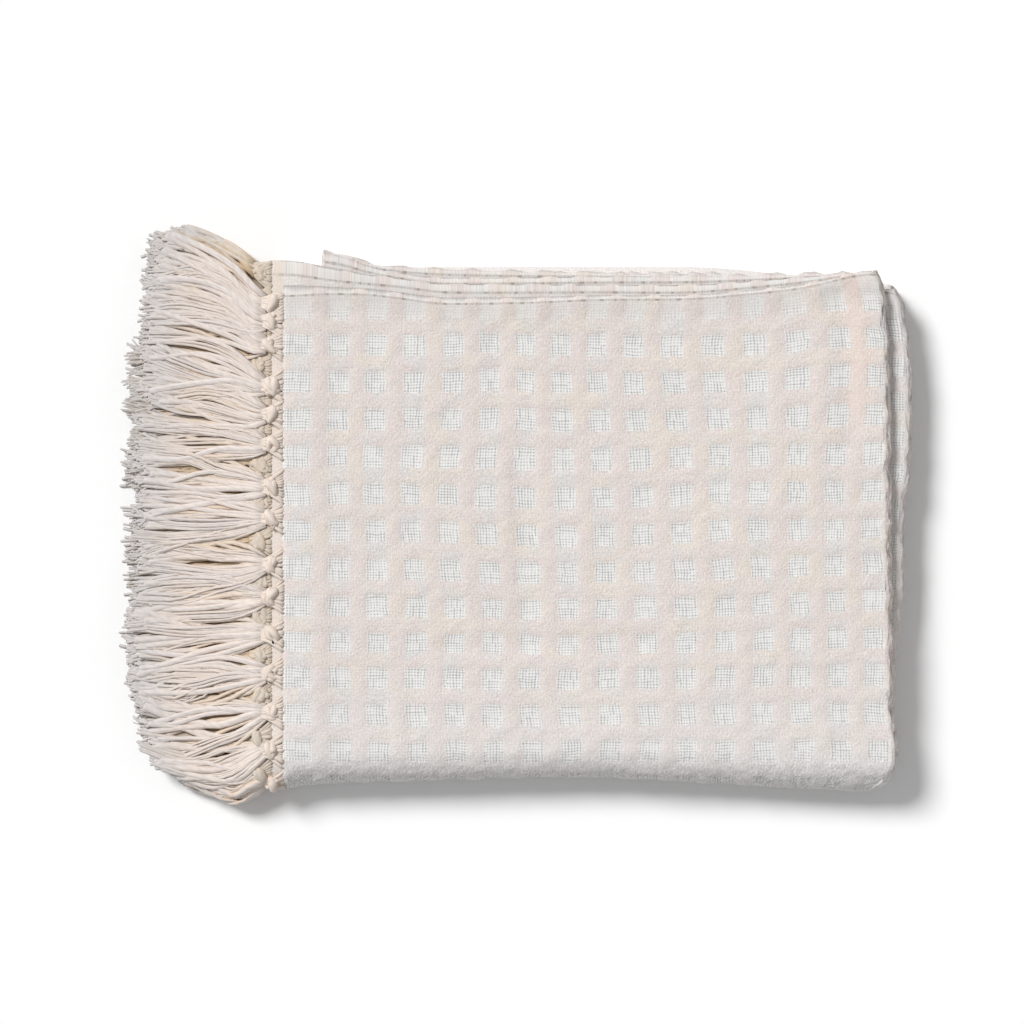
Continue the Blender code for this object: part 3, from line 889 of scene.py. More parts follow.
def yarn_lines(yarns, centres, layer, edge_x, points):
    """Centre lines of yarns in the frame, and the directions away from the stack."""
    each = Yarn(*(np.array(values)[:, None] for values in zip(*yarns)))
    along_it = yarn_shares(points)
    share = each.start + (each.end - each.start) * along_it
    start_x = edge_x - KNOT_X - KNOT_HALF_LENGTH
    x = start_x + (-FRINGE_LENGTH - each.length - start_x) * share
    opened = 1 - (1 - np.clip(share, 0, 1)) ** SPREAD_POWER
    spread = each.root + (each.tip - each.root) * opened
    turn = math.tau * each.turns * share + each.phase
    wave = each.wave * (np.sin(turn) + SECOND_WAVE * np.sin(SECOND_TURNS * turn + 1.0))
    along = np.array(centres)[:, None] + spread + each.sway * np.clip(share, 0, None) ** SWAY_POWER
    along = along + wave * np.clip(share * 2.5, 0, 1) + each.splay * along_it**2
    stage = stage_at(along, OFFSETS[layer])
    base, up = off_the_stack(stage.ravel(), OFFSETS[layer], x.ravel())
    base, up = base.reshape(*stage.shape, 3), up.reshape(*stage.shape, 3)
    base[..., 1] += loose_sweep(base[:, :1, 1] - SHIFT[1], share)
    hump = np.sin(math.pi * np.clip(share * 1.1, 0, 1)) ** HUMP_POWER
    lift = each.rise * hump + each.drop * np.sin(math.tau * DROP_TURNS * share + each.phase)
    return base + up * lift[..., None], up, share


def tube_faces(count, points, sides):
    """The faces of closed tubes. Each has its rings of vertices in order, one ring a point."""
    one = []
    for ring in range(0, (points - 1) * sides, sides):
        for j in range(sides):
            a, b = ring + j, ring + (j + 1) % sides
            one.append((a, a + sides, b + sides, b))
    one.append(tuple(range(sides)))
    one.append(tuple(range(points * sides - 1, (points - 1) * sides - 1, -1)))
    firsts = range(0, count * points * sides, points * sides)
    return [tuple(first + place for place in face) for first in firsts for face in one]


def tube_mesh(lines, ups, radii, sides, wide=1.0, tall=1.0):
    """Vertices, faces and (round, length) coordinates of tubes, all with as many points."""
    count, points, _ = lines.shape
    tangent = np.gradient(lines, axis=1)
    tangent /= np.linalg.norm(tangent, axis=2, keepdims=True)
    side = np.cross(tangent, ups)
    side /= np.linalg.norm(side, axis=2, keepdims=True)
    up = np.cross(side, tangent)
    angle = np.arange(sides) * math.tau / sides
    sideways, upward = wide * np.cos(angle)[:, None], tall * np.sin(angle)[:, None]
    ring = side[:, :, None] * sideways + up[:, :, None] * upward
    verts = lines[:, :, None] + ring * radii[:, :, None, None]
    gaps = np.linalg.norm(np.diff(lines, axis=1), axis=2)
    length = np.concatenate([np.zeros((count, 1)), np.cumsum(gaps, axis=1)], axis=1)
    round_ = np.broadcast_to(angle / math.tau, (count, points, sides))
    length = np.broadcast_to(length[..., None], (count, points, sides))
    faces = tube_faces(count, points, sides)
    return verts.reshape(-1, 3), faces, round_.ravel(), length.ravel()


def yarn_tubes(pairs, layer, edge_x):
    """Vertices, faces and looks of yarns that have as many sides and points each."""
    yarns, centres = zip(*pairs)
    sides, points = yarns[0].sides, yarns[0].points
    lines, ups, share = yarn_lines(yarns, centres, layer, edge_x, points)
    radius = np.array([yarn.radius for yarn in yarns])[:, None]
    at = yarn_shares(points)
    taper = 1 + OPENS_UP * rise_between(share, *OPENS_FROM_TO) - TIP_ROUNDED * (at == 1)
    radii = radius * taper * (1 - ROOT_ROUNDED * (at == 0))
    lines[..., 2] = np.maximum(lines[..., 2], radii)
    verts, faces, round_, length = tube_mesh(lines, ups, radii, sides, YARN_WIDE, YARN_TALL)
    tones = np.repeat([yarn.tone for yarn in yarns], points * sides)
    shares = np.repeat(share.ravel(), sides)
    return verts, faces, np.stack([round_, length, tones, shares], axis=1)


def joined(parts):
    """One block of vertices, faces and looks from several."""
    verts, faces, looks = zip(*parts)
    firsts = np.cumsum([0] + [len(block) for block in verts]).tolist()
    faces = [tuple(first + i for i in face) for first, block in zip(firsts, faces) for face in block]
    return np.concatenate(verts), faces, np.concatenate(looks)


def make_fringe(name, layer, edge_x, material, seed):
    chance = np.random.default_rng(seed)
    batches = {}
    for number, (centre, quarter) in enumerate(tassels_of(layer)):
        looser = float(rise_between(centre, *LOOSER_FROM_TO)) * (quarter == 0)
        yarns = tassel_yarns(chance, quarter == 0, looser)
        if layer == "B1" and number == 0:
            yarns = short_roll(yarns)
        if layer == "B1" and number > 1:
            yarns = beside_knots(yarns)
        for yarn in yarns:
            batches.setdefault((yarn.sides, yarn.points), []).append((yarn, centre))
    parts = [yarn_tubes(pairs, layer, edge_x) for pairs in batches.values()]
    parts += knot_parts(chance, layer, edge_x)
    verts, faces, look = joined(parts)
    maps = (("yarn", look[:, 0], look[:, 1]), ("tone", look[:, 2], look[:, 3]))
    return add_object(name, verts.tolist(), faces, material, maps)


COIL_POINTS, COIL_SIDES, CORD_POINTS, CORD_SIDES, KNOT_TONE = 17, 8, 6, 5, 0.5
COIL_LENGTH, COIL_WIDTH, COIL_HEIGHT, COIL_RISE, COIL_TURNS = 0.0038, 0.0046, 0.0019, 0.0010, 1.35
COIL_RADIUS, UNEVEN_RADIUS, COIL_LEAN = 0.0022, 0.0005, (0.0008, 0.0018)
KNOT_SIZE, KNOT_TILT = (0.80, 1.15), (-0.75, 0.75)
CORD_START, PAST_KNOT, CORD_RISE, CORD_RADIUS = -0.0006, 0.0072, 0.0010, (0.0010, 0.0017)
GATHERED, GATHER_POWER, IN_KNOT, CORD_WANDER = 0.0085, 1.6, 0.0027, 0.0004


def knot_coil(chance, size, tall):
    """The yarn that wraps a knot, as (distance, along, height, radius) rows."""
    turns = np.linspace(0, 1, COIL_POINTS)
    lean = chance.choice((-1, 1)) * chance.uniform(*COIL_LEAN)
    angle = chance.uniform(0, math.tau) + math.tau * COIL_TURNS * turns
    return np.stack(
        [
            KNOT_X + COIL_LENGTH * (turns - 0.5) * size + lean * np.sin(angle),
            COIL_WIDTH * size * np.cos(angle),
            COIL_HEIGHT * size * tall * np.sin(angle) + COIL_RISE * tall,
            (COIL_RADIUS + UNEVEN_RADIUS * np.sin(angle * 1.7)) * size * (0.6 + 0.4 * tall),
        ],
        axis=1,
    )


def tilted(line, angle):
    """A knot's line turned in the plane of the cloth about the middle of the knot."""
    line = line.copy()
    distance, along = line[:, 0] - KNOT_X, line[:, 1].copy()
    line[:, 0] = KNOT_X + distance * math.cos(angle) - along * math.sin(angle)
    line[:, 1] = distance * math.sin(angle) + along * math.cos(angle)
    return line


def knot_cord(chance, slot, tall):
    """A yarn that runs from the cloth's edge through a knot."""
    share = np.linspace(0, 1, CORD_POINTS)
    gathered = GATHERED * (1 - share) ** GATHER_POWER + IN_KNOT
    return np.stack(
        [
            CORD_START + share * (KNOT_X + PAST_KNOT),
            slot * gathered + chance.normal(0, CORD_WANDER),
            CORD_RISE * np.sin(math.pi * share) * tall,
            np.full_like(share, chance.uniform(*CORD_RADIUS)),
        ],
        axis=1,
    )


def knot_lines(chance, top):
    """The coils and cords of one knot."""
    tall = KNOT_TALL[top]
    cords = [knot_cord(chance, slot, tall) for slot in np.linspace(-1, 1, CORDS[top])]
    coils = []
    for _ in range(COILS[top]):
        size = chance.uniform(*KNOT_SIZE)
        coils.append(tilted(knot_coil(chance, size, tall), chance.uniform(*KNOT_TILT)))
    return coils + cords


def knot_parts(chance, layer, edge_x):
    """Vertices, faces and looks of each line of the knots."""
    parts = []
    for centre, quarter in tassels_of(layer):
        for line in knot_lines(chance, quarter == 0):
            distance, along, height, radius = line.T
            stage = stage_at(centre + along, OFFSETS[layer])
            base, up = off_the_stack(stage, OFFSETS[layer], edge_x - distance)
            points = base + up * height[:, None]
            sides = COIL_SIDES if len(line) == COIL_POINTS else CORD_SIDES
            verts, faces, round_, length = tube_mesh(points[None], up[None], radius[None], sides)
            verts[:, 2] = np.maximum(verts[:, 2], 0.0)
            even = np.full(len(verts), KNOT_TONE)
            parts.append((verts, faces, np.stack([round_, length, even, even], axis=1)))
    return parts


# ---------------------------------------------------------------- materials


class Value:
    """What a node gives, with plain arithmetic and short calls for the nodes after it."""

    def __init__(self, tree, socket):
        self.tree, self.socket = tree, socket

    def math(self, operation, *others):
        inputs = dict(enumerate((self, *others)))
        return make_node(self.tree, "ShaderNodeMath", inputs, operation=operation)

    def __add__(self, other):
        return self.math("ADD", other)

    def __mul__(self, other):
        return self.math("MULTIPLY", other)

    def __sub__(self, other):
        return self.math("SUBTRACT", other)

    def __rsub__(self, other):
        return make_node(self.tree, "ShaderNodeMath", {0: other, 1: self}, operation="SUBTRACT")

    def __pow__(self, other):
        return self.math("POWER", other)

    __radd__, __rmul__ = __add__, __mul__

    def step(self, low, high):
        """0 at low, 1 at high and a smooth rise between, either way round."""
        ends = (0.0, 1.0) if low < high else (1.0, 0.0)
        inputs = dict(enumerate((self, min(low, high), max(low, high), *ends)))
        return make_node(self.tree, "ShaderNodeMapRange", inputs, interpolation_type="SMOOTHSTEP")

    def noise(self, scale, detail=2.0, roughness=0.5):
        inputs = {"Vector": self, "Scale": scale, "Detail": detail, "Roughness": roughness}
        return make_node(self.tree, "ShaderNodeTexNoise", inputs)

    def chance(self):
        inputs = {"Vector": self}
        return make_node(self.tree, "ShaderNodeTexWhiteNoise", inputs, noise_dimensions="2D")

    def bump(self, distance, strength):
        inputs = {"Height": self, "Distance": distance, "Strength": strength}
        return make_node(self.tree, "ShaderNodeBump", inputs)


def set_input(tree, socket, value):
    """Links what another node gives, or sets a plain value."""
    if isinstance(value, Value):
        tree.links.new(value.socket, socket)
    else:
        socket.default_value = value


def make_node(tree, kind, inputs, output=0, **settings):
    node = tree.nodes.new(kind)
    for name, value in settings.items():
        setattr(node, name, value)
    for place, value in inputs.items():
        set_input(tree, node.inputs[place], value)
    return Value(tree, node.outputs[output])


def pair(x, y):
    return make_node(x.tree, "ShaderNodeCombineXYZ", {0: x, 1: y})


def mix(share, a, b):
    """The colour a where share is 0, and b where it is 1."""
    a, b = ((*colour, 1.0) if isinstance(colour, tuple) else colour for colour in (a, b))
    return make_node(share.tree, "ShaderNodeMix", {0: share, 6: a, 7: b}, 2, data_type="RGBA")


def darken(colour, share):
    """A colour times a grey value."""
    inputs = {0: colour, "Scale": share}
    return make_node(colour.tree, "ShaderNodeVectorMath", inputs, operation="SCALE")


def uv_map(tree, name):
    """The vector of a UV map, and its two parts."""
    vector = make_node(tree, "ShaderNodeUVMap", {}, uv_map=name)
    first = make_node(tree, "ShaderNodeSeparateXYZ", {0: vector})
    return vector, first, Value(tree, first.socket.node.outputs[1])


def new_material(name):
    material = bpy.data.materials.new(name)
    material.use_nodes = True
    return material


def finish_material(material, looks):
    """Sets or links the shader's own inputs, by name."""
    shader = material.node_tree.nodes["Principled BSDF"]
    for name, value in looks.items():
        set_input(material.node_tree, shader.inputs[name], value)
    return material


def finish_cotton(material, colour, normal, roughness, sheen):
    looks = {
        "Base Color": colour,
        "Normal": normal,
        "Roughness": roughness,
        "Specular IOR Level": 0.15,
        "Sheen Weight": sheen,
        "Sheen Roughness": 0.6,
    }
    return finish_material(material, looks)


THREAD_WHITE = (0.795, 0.785, 0.765)
# Painted shade: the grey seen in the small holes and thread gaps of the open squares.
HOLE_SHADE_GREY = (0.41, 0.41, 0.41)
PINK_CREAM = (0.755, 0.672, 0.640)
YELLOW_CREAM = (0.770, 0.705, 0.620)
GREY_CREAM = (0.718, 0.688, 0.668)
PEACH_CREAM = (0.780, 0.655, 0.590)
LOW_GREY = (0.748, 0.712, 0.694)
# Painted shade and light on the near fold: grey like cloth turning under, yet light enough to offset
# the real shade it gets.
FOLD_SHADE_AND_LIGHT_GREY = (0.735, 0.718, 0.712)
# Painted shade: the tan of the cloth's far end, between the knots.
END_SHADE_TAN = (0.690, 0.600, 0.520)
SHADOW_BROWN = (0.26, 0.23, 0.20)
# Painted shade: brown low on the yarns' sides, in the crevices between them.
CREVICE_SHADE_BROWN = (0.72, 0.50, 0.31)
# A yarn's warm colour is painted shade for the lower and hidden yarns, mixed with tone that differs
# at random.
NEAR_COLOURS = {
    "pale": (0.710, 0.648, 0.622),
    "warm_and_shaded": (0.715, 0.590, 0.475),
    "tip": (0.570, 0.543, 0.538),
    "root": (0.715, 0.645, 0.597),
}
# The far yarns' warm and root colours are tan and brown: painted shade, as they are seen only in gaps
# and near the knots.
FAR_COLOURS = {
    "pale": (0.660, 0.628, 0.600),
    "warm_and_shaded": (0.560, 0.450, 0.325),
    "tip": (0.570, 0.545, 0.535),
    "root": (0.600, 0.470, 0.320),
}

# Where looks of the cloth begin and end, in cells of the weave along and across it.
WARM_FROM, WARM_TO, WARM_FADES = (14.3, 14.9), (15.7, 15.2), (5.2, 2.5)
GREYS, FOLD_FROM, FOLD_TO = (9.5, 12.5), (12.3, 13.2), (15.6, 14.8)
BY_FRINGE, BY_SELVEDGE, OPENS = (2.2, 0.4), (0.9, 0.3), (0.2, 0.9)
FAR_END = (CELLS_ALONG - 0.42, CELLS_ALONG - 0.28)
DASHES_FROM, DASHES_TO = (0.000, 0.020), (0.090, 0.050)
# Steps from a cell's middle: the sides of an open square, its darkest rows and a band's sides.
SQUARE_U = (SQUARE_HALF + 0.055, SQUARE_HALF - 0.005)
SQUARE_V = (SQUARE_HALF + 0.075, SQUARE_HALF + 0.005)
TICKS_U = (SQUARE_HALF + 0.02, SQUARE_HALF - 0.02)
TICKS_V = (SQUARE_HALF + 0.150, SQUARE_HALF + 0.050)
DARK_FROM, DARK_TO = (0.19, 0.235), (0.34, 0.29)
BAND_SIDE = (SQUARE_HALF - 0.02, SQUARE_HALF + 0.08)
RAGGED_U, RAGGED_V = 0.050, 0.070
WAVY_SCALE, WAVY_AMOUNT, WAVY_SHIFTS = 2.6, 0.075, (3.1, 8.4)

# Fine noises, as (scale of the first coordinate, scale of the second, detail, roughness).
FLECKS, STREAKS, GRAIN = (19.0, 14.0, 2.0, 0.8), (34.0, 7.0, 2.0, 0.7), (30.0, 26.0, 1.0, 0.5)
FUZZ, SIDE_PATCHES = (17.0, 13.0, 4.0, 0.7), (75.0, 60.0, 1.0, 0.5)
FIBRES_ROUND, FIBRES_DETAIL, FIBRES_ROUGHNESS, STRANDS = 6.0, 3.0, 0.65, (9.0, 0.22, 1.0, 0.6)
# Where each tint begins and is full in its noise, and then its share.
PINK, YELLOW, GREY = (0.38, 0.60, 0.75), (0.49, 0.62, 0.52), (0.56, 0.68, 0.36)
WARM_SHARE, GREYS_SHARE, FOLD_SHARE, FOLD_THREADS, END_SHADE_SHARE = 0.60, 0.55, 0.85, 0.35, 0.50
PATCH_SCALE, SMALL_PATCH_SCALE, SMALL_PATCH_SHIFT = 0.85, 1.5, 40.0
# How light or dark things are. A least value comes first, and what may be added to it after.
OPEN, SQUARES, HOLES, DARK_ROWS = (0.3, 0.7), (0.20, 0.80), (0.05, 0.75), (0.70, 0.70)
HOLE_PATCHES, HOLE_PATCH_SCALE, DOT_FROM_TO = (0.30, 1.2), 1.6, (0.20, 0.95)
THINNEST_LINE, LINE_POWER, LINES_DOWN, LINES_ACROSS, TICKS = 0.20, 1.6, 0.60, 0.48, 0.42
BAND_SHADE, FLECK_SHADE, STREAK_SHADE, THREAD_SHADE = (0.627, -0.12), (0.42, 0.24), 0.36, -0.034
FRINGE_PAINTED_SHADE, SELVEDGE_PAINTED_SHADE, SPECKS, FOLD_STREAKS = -0.045, -0.075, (0.56, 0.68, 0.22), (1.0, 0.8)
DASH_SCALE, DASH_ROW, DASHES_AT, DASHES = 5.5, 3.0, (0.50, 0.62), (0.34, 0.46)
WOOL, WEAVE, WEAVE_FUZZ, COTTON_ROUGHNESS = (0.2, 1.3), (0.9, 0.35), 0.25, (0.86, 0.12)
TWIST_LENGTH, TWIST_ROUND, TWIST_SCALE, TWIST_UNEVEN = 120.0, 2.0, 60.0, 1.6
FIBRE_LENGTH, FIBRE_TONE, SIDES_DARK, SIDES_AT = 220.0, 50.0, (0.25, 0.75), (0.38, 0.62)
TIP_FROM, ROOT_FROM, INNER_TO = (0.60, 1.0, 0.80), (0.30, 0.02, 0.75), (1.0, 0.55)
CREVICE_SHADE_SHARE, LOW_SIDE, YARN_SHADE = 0.88, (0.70, -0.30), 0.62
# Of a yarn's ply, fibres and strands: how much each lightens it, and how much it stands out.
YARN_LIGHTER, YARN_RELIEF = (0.08, 0.30, 0.28), (0.45, 0.7, 1.2)


def from_middle(value):
    """The distance of a weave coordinate from the middle of its cell."""
    return (value.math("FRACT") - 0.5).math("ABSOLUTE")


def line_number(value, count):
    """Which line a place is in, of count to a cell."""
    return (value * count).math("FLOOR")


def wavy(value, vector, shift):
    """A coordinate pushed to and fro by noise."""
    inputs = {0: vector, 1: (shift, shift * 1.7, 0)}
    moved = make_node(vector.tree, "ShaderNodeVectorMath", inputs, operation="ADD")
    return value + (moved.noise(WAVY_SCALE, 1.0) - 0.5) * WAVY_AMOUNT


def fine_noise(x, y, scales):
    """One of the fine noises, of two coordinates."""
    first, second, detail, roughness = scales
    return pair(x * first, y * second).noise(1.0, detail, roughness)


def more(least, value):
    """A least value, with more added where the other value is high."""
    lowest, added = least
    return lowest + value * added


def tint(value, look, colour, other):
    """A colour with a share of another one, where a value goes from low to high."""
    low, high, share = look
    return mix(value.step(low, high) * share, colour, other)


def run_on(value, last):
    """1 within half a cell of the cloth's edges, where no band lies outside the squares."""
    return value.step(0.5, 0.45) + value.step(last - 0.5, last - 0.45)


def ragged_edges(u, v):
    """The distances from a square's middle, made uneven thread by thread."""
    ragged_v = pair(line_number(u, THREADS_A_CELL), line_number(v, 2.0)).chance()
    ragged_u = pair(line_number(u, 2.0), line_number(v, THREADS_A_CELL)).chance()
    edge_u = (from_middle(u) + ragged_u * RAGGED_U) * (1.0 - run_on(u, CELLS_ALONG))
    edge_v = (from_middle(v) + ragged_v * RAGGED_V) * (1.0 - run_on(v, ROWS_ACROSS))
    return edge_u, edge_v


def thread_gaps(value):
    """0 on the middle of each thread and 1 between two."""
    return 0.5 - (value * THREADS_A_CELL * math.tau).math("COSINE") * 0.5


def hole_strength(vector, u, v, openness):
    """How dark the painted shade in each small hole is: uneven, and darkest along the square's upper
    and lower edges.
    """
    holes = pair(line_number(u, THREADS_A_CELL), line_number(v, THREADS_A_CELL))
    edge = from_middle(v)
    edge_row = edge.step(*DARK_FROM) * edge.step(*DARK_TO)
    patchy = more(HOLE_PATCHES, vector.noise(HOLE_PATCH_SCALE))
    return more(HOLES, holes.chance()) * more(DARK_ROWS, edge_row) * openness * patchy


def line_strengths(u, v, openness):
    """How dark the painted shade in the gaps between threads is, down and across: each thread has its
    own.
    """
    down = pair(line_number(u, THREADS_A_CELL), line_number(v, 2.0)).chance()
    across = pair(line_number(u, 3.0), line_number(v, THREADS_A_CELL)).chance()
    down = (THINNEST_LINE + down**LINE_POWER) * LINES_DOWN * openness
    return down, (THINNEST_LINE + across**LINE_POWER) * LINES_ACROSS * openness


def cream_patches(vector, u, v):
    """The bands' colour: pinker down the cloth, greyer across it, yellow where some cross."""
    small_patches = pair(u + SMALL_PATCH_SHIFT, v).noise(SMALL_PATCH_SCALE)
    pink_from, pink_to, pink_down = PINK
    greyer = mix(small_patches.step(pink_from, pink_to), GREY_CREAM, PINK_CREAM)
    colour = mix(from_middle(u).step(*BAND_SIDE) * pink_down, greyer, PINK_CREAM)
    colour = tint(vector.noise(PATCH_SCALE), YELLOW, colour, YELLOW_CREAM)
    return tint(small_patches, GREY, colour, GREY_CREAM)


def trough_tint(u, v):
    """1 along the soft trough by the upper right end, which is a little warmer."""
    return u.step(*WARM_FROM) * u.step(*WARM_TO) * v.step(*WARM_FADES)


def fold_streaks(u, v):
    """Where the near fold is, and how dark the slanted streaks and specks on it are."""
    on_fold = v.step(*FOLD_FROM) * v.step(*FOLD_TO)
    streaks = pair(u * 24.0 + v * 11.0, v * 6.0).noise(1.0, 2.0, 0.7) - 0.55
    low, high, dark = SPECKS
    return on_fold, streaks - fine_noise(u, v, GRAIN).step(low, high) * dark


def band_colour(vector, u, v, gaps_u, gaps_v, on_fold):
    """Soft cotton bands."""
    colour = cream_patches(vector, u, v)
    colour = mix(trough_tint(u, v) * WARM_SHARE, colour, PEACH_CREAM)
    colour = mix(v.step(*GREYS) * GREYS_SHARE, colour, LOW_GREY)
    # Painted shade and light: the near fold's bands are mixed to its grey.
    colour = mix(on_fold * FOLD_SHARE, colour, FOLD_SHADE_AND_LIGHT_GREY)
    across = from_middle(u).step(*reversed(BAND_SIDE))
    shade = fine_noise(u, v, FLECKS) * more(FLECK_SHADE, across)
    shade = shade + fine_noise(u, v, STREAKS) * STREAK_SHADE
    # Painted shade: the bands are a little darker in the gaps between their threads.
    shade = shade + (gaps_u + gaps_v) * THREAD_SHADE + more(BAND_SHADE, across)
    return darken(colour, shade)


def square_colour(strength, lines, gaps_u, gaps_v):
    """White threads, with painted shade in the fine gaps and small holes between them."""
    dot = (gaps_u * gaps_v).step(*DOT_FROM_TO)
    share = dot * strength + (gaps_u**2.0 * lines[0] + gaps_v**2.0 * lines[1])
    return mix(share.math("MINIMUM", 1.0), THREAD_WHITE, HOLE_SHADE_GREY)


def selvedge_shadow_dashes(u, nearest):
    """A faint dashed line of painted shadow just inside the selvedges, where the layers lie on each
    other.
    """
    line = nearest.step(*DASHES_FROM) * nearest.step(*DASHES_TO)
    some = pair(u * DASH_SCALE, DASH_ROW).noise(1.0).step(*DASHES_AT)
    return line * more(DASHES, some)


def woven_colour(vector, u, v, from_selvedge, gaps_u, gaps_v):
    """The cloth's colour, and 1 in the open squares."""
    edge_u, edge_v = ragged_edges(u, v)
    nearest = from_selvedge.math("MINIMUM", CLOTH_WIDTH / CELL_WIDTH - from_selvedge)
    openness = more(OPEN, nearest.step(*OPENS))
    far_end = u.step(*FAR_END)
    square = edge_u.step(*SQUARE_U) * edge_v.step(*SQUARE_V) * (1.0 - far_end)
    square = square * more(SQUARES, openness)
    strength = hole_strength(vector, u, v, openness)
    on_fold, streaks = fold_streaks(u, v)
    threads = square_colour(strength, line_strengths(u, v, openness), gaps_u, gaps_v)
    # Painted shade: the threads on the near fold are dimmed to the same grey.
    threads = mix(on_fold * FOLD_THREADS, threads, FOLD_SHADE_AND_LIGHT_GREY)
    # The painted shade of the thread gaps runs on a little way past a square's upper and lower edges.
    ticks = edge_u.step(*TICKS_U) * edge_v.step(*TICKS_V) * gaps_u * strength
    band = band_colour(vector, u, v, gaps_u, gaps_v, on_fold)
    colour = mix(square, mix(ticks * TICKS, band, HOLE_SHADE_GREY), threads)
    # Painted shade: a little darker beside the near fringe, and along the selvedges where the layers
    # lie over each other.
    painted_edge_shade = u.step(*BY_FRINGE) * FRINGE_PAINTED_SHADE + nearest.step(*BY_SELVEDGE) * SELVEDGE_PAINTED_SHADE
    shade = 1.0 + painted_edge_shade + on_fold * (streaks * more(FOLD_STREAKS, square))
    colour = mix(selvedge_shadow_dashes(u, nearest), darken(colour, shade), SHADOW_BROWN)
    # Painted shade: the plain far end, seen between the knots, is tinted tan as it lies in shade.
    return mix(far_end * END_SHADE_SHARE, colour, END_SHADE_TAN), square


def woven_cotton():
    material = new_material("woven_cotton_weave")
    vector, u, v = uv_map(material.node_tree, "weave")
    from_selvedge = uv_map(material.node_tree, "edge")[2]
    u, v = (wavy(value, vector, shift) for value, shift in zip((u, v), WAVY_SHIFTS))
    gaps_u, gaps_v = thread_gaps(u), thread_gaps(v)
    colour, square = woven_colour(vector, u, v, from_selvedge, gaps_u, gaps_v)
    fuzz = fine_noise(u, v, FUZZ)
    woolly = more(WOOL, fuzz)
    weave = WEAVE[0] - gaps_u * gaps_v * WEAVE[1] + fuzz * WEAVE_FUZZ
    normal = (woolly + square * (weave - woolly)).bump(distance=0.0008, strength=0.7)
    return finish_cotton(material, colour, normal, roughness=more(COTTON_ROUGHNESS, fuzz), sheen=0.10)


def shaded_yarn_sides(round_, length, tone):
    """1 in patches of painted shade low on the sides of a yarn, where little light gets in, and 0 on
    top.
    """
    height = (round_ * math.tau).math("SINE")
    patches = fine_noise(length, tone, SIDE_PATCHES).step(*SIDES_AT)
    return height.step(*LOW_SIDE) * more(SIDES_DARK, patches)


def weighed(parts, weights):
    """The sum of three values, each by its weight."""
    first, second, third = (part * weight for part, weight in zip(parts, weights))
    return first + second + third


def plied_yarn(name, pale, warm_and_shaded, tip, root):
    """Loosely plied cotton: two strands twist round each other, with fine fibres."""
    material = new_material(name)
    _, round_, length = uv_map(material.node_tree, "yarn")
    _, tone, share = uv_map(material.node_tree, "tone")
    turn = length * TWIST_LENGTH + round_ * TWIST_ROUND
    turn = turn + pair(length, tone).noise(TWIST_SCALE, 1.0) * TWIST_UNEVEN
    # Painted shade: darker in the grooves of the twist, lighter on the plies.
    ply = (turn * math.pi).math("SINE").math("ABSOLUTE")
    lengthwise = length * FIBRE_LENGTH + tone * FIBRE_TONE
    fibres = pair(round_ * FIBRES_ROUND, lengthwise).noise(1.0, FIBRES_DETAIL, FIBRES_ROUGHNESS)
    parts = (ply, fibres, fine_noise(round_, lengthwise, STRANDS))
    # The warm colour is partly painted shade, given by each yarn's tone.
    colour = tint(share, TIP_FROM, mix(tone, pale, warm_and_shaded), tip)
    colour = tint(share, ROOT_FROM, colour, root)
    # Painted shade: the yarns' lower sides, towards the root end, are browner.
    inner = shaded_yarn_sides(round_, length, tone) * share.step(*INNER_TO)
    colour = mix(inner * CREVICE_SHADE_SHARE, colour, CREVICE_SHADE_BROWN)
    shade = YARN_SHADE + weighed(parts, YARN_LIGHTER)
    normal = weighed(parts, YARN_RELIEF).bump(distance=0.0005, strength=0.5)
    return finish_cotton(material, darken(colour, shade), normal, roughness=0.9, sheen=0.12)


def plain_floor():
    looks = {"Base Color": (0.93, 0.93, 0.93, 1), "Roughness": 1.0, "Specular IOR Level": 0.0}
    return finish_material(new_material("pale_floor"), looks)


# ---------------------------------------------------------------- floor, light and camera


VIEW_WIDTH = 0.652
CAMERA_HEIGHT = 2.60
SENSOR_WIDTH = 36.0
FLOOR_REACH = 4.0
LIGHT_PLACE, LIGHT_TARGET = (-1.0, 0.9, 1.4), (0, 0, 0.02)
LIGHT_STRENGTH, LIGHT_SPREAD, SKY_STRENGTH = 3.00, 20.0, 0.40
# The middle of the photograph, in fold space.
VIEW_CENTRE = (0.1460, 0.0046)


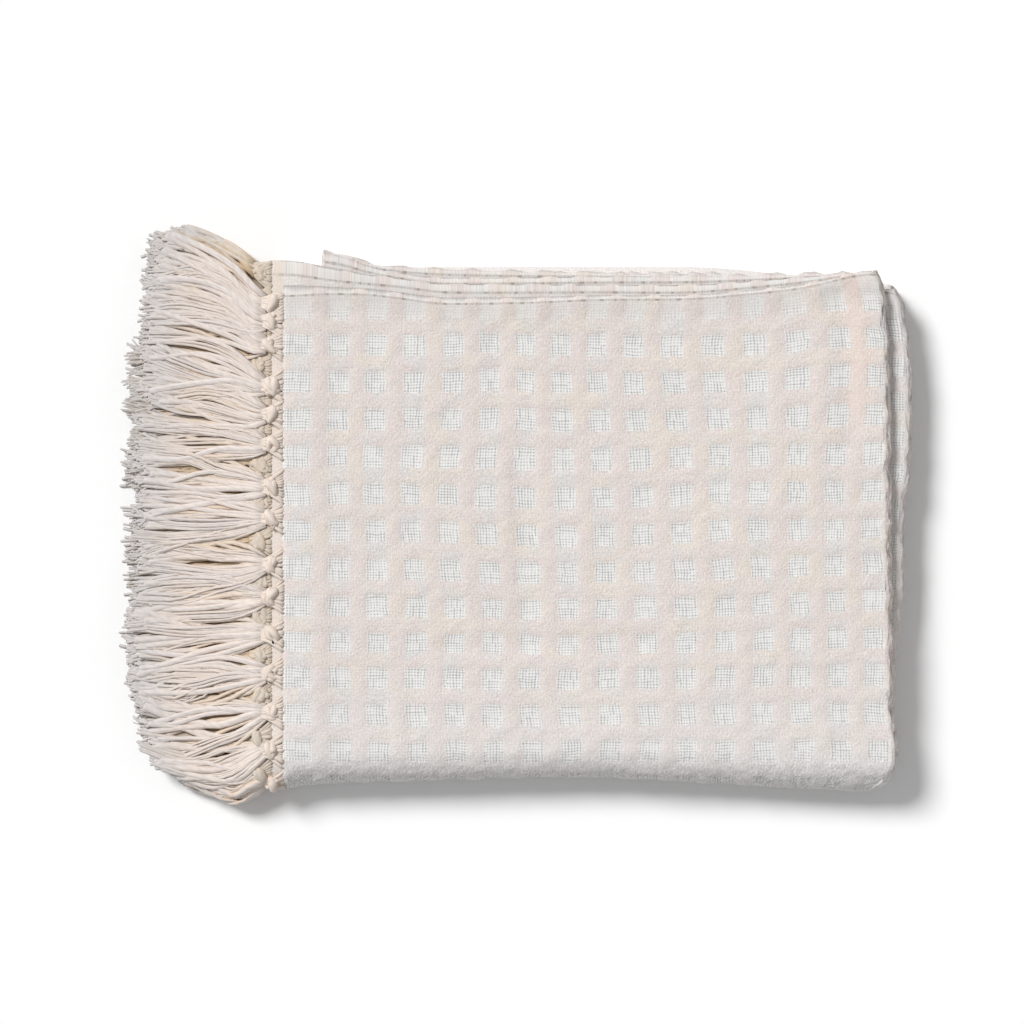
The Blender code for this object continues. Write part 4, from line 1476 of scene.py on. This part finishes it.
def make_floor():
    corners = [(x * FLOOR_REACH, y * FLOOR_REACH, 0) for x, y in ((-1, -1), (1, -1), (1, 1), (-1, 1))]
    floor = add_object("floor", corners, [(0, 1, 2, 3)], plain_floor())
    floor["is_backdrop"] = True


def soft_sun():
    """Even light from one side, as from a large softbox far away."""
    light = bpy.data.lights.new("key", "SUN")
    light.energy = LIGHT_STRENGTH
    light.angle = math.radians(LIGHT_SPREAD)
    key = link_object("key", light)
    key.location = LIGHT_PLACE
    direction = Vector(LIGHT_TARGET) - key.location
    key.rotation_euler = direction.to_track_quat("-Z", "Y").to_euler()


def make_light():
    world = bpy.data.worlds.new("studio")
    world.use_nodes = True
    sky = world.node_tree.nodes["Background"]
    sky.inputs["Color"].default_value = (1, 1, 1, 1)
    sky.inputs["Strength"].default_value = SKY_STRENGTH
    bpy.context.scene.world = world
    soft_sun()
    bpy.context.scene.view_settings.view_transform = "Standard"


def make_camera():
    data = bpy.data.cameras.new("camera")
    data.sensor_width = SENSOR_WIDTH
    top = CAD_BOX[1][2]
    data.lens = SENSOR_WIDTH * (CAMERA_HEIGHT - top) / VIEW_WIDTH
    camera = link_object("camera", data)
    camera.location = (VIEW_CENTRE[0] + SHIFT[0], VIEW_CENTRE[1] + SHIFT[1], CAMERA_HEIGHT)
    bpy.context.scene.camera = camera


def write_sizes():
    boxes = {"cad": CAD_BOX, "visual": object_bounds()}
    {name: [list(corner) for corner in box] for name, box in boxes.items()}


def main():
    cloth = make_cloth(woven_cotton())
    near_look = plied_yarn("near_yarn", **NEAR_COLOURS)
    far_look = plied_yarn("far_yarn", **FAR_COLOURS)
    near = make_fringe("tassels_near", "A1", 0.0, near_look, NEAR_SEED)
    far = make_fringe("tassels_far", "B1", -B_REACH, far_look, FAR_SEED)
    for piece, node, slot in (
        (cloth, "cloth", "woven_cotton"),
        (near, "fringe_near", "near_fringe_yarn"),
        (far, "fringe_far", "far_fringe_yarn"),
    ):
        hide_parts(node)
        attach(piece, "root")
    make_floor()
    make_light()
    make_camera()
    write_sizes()


main()
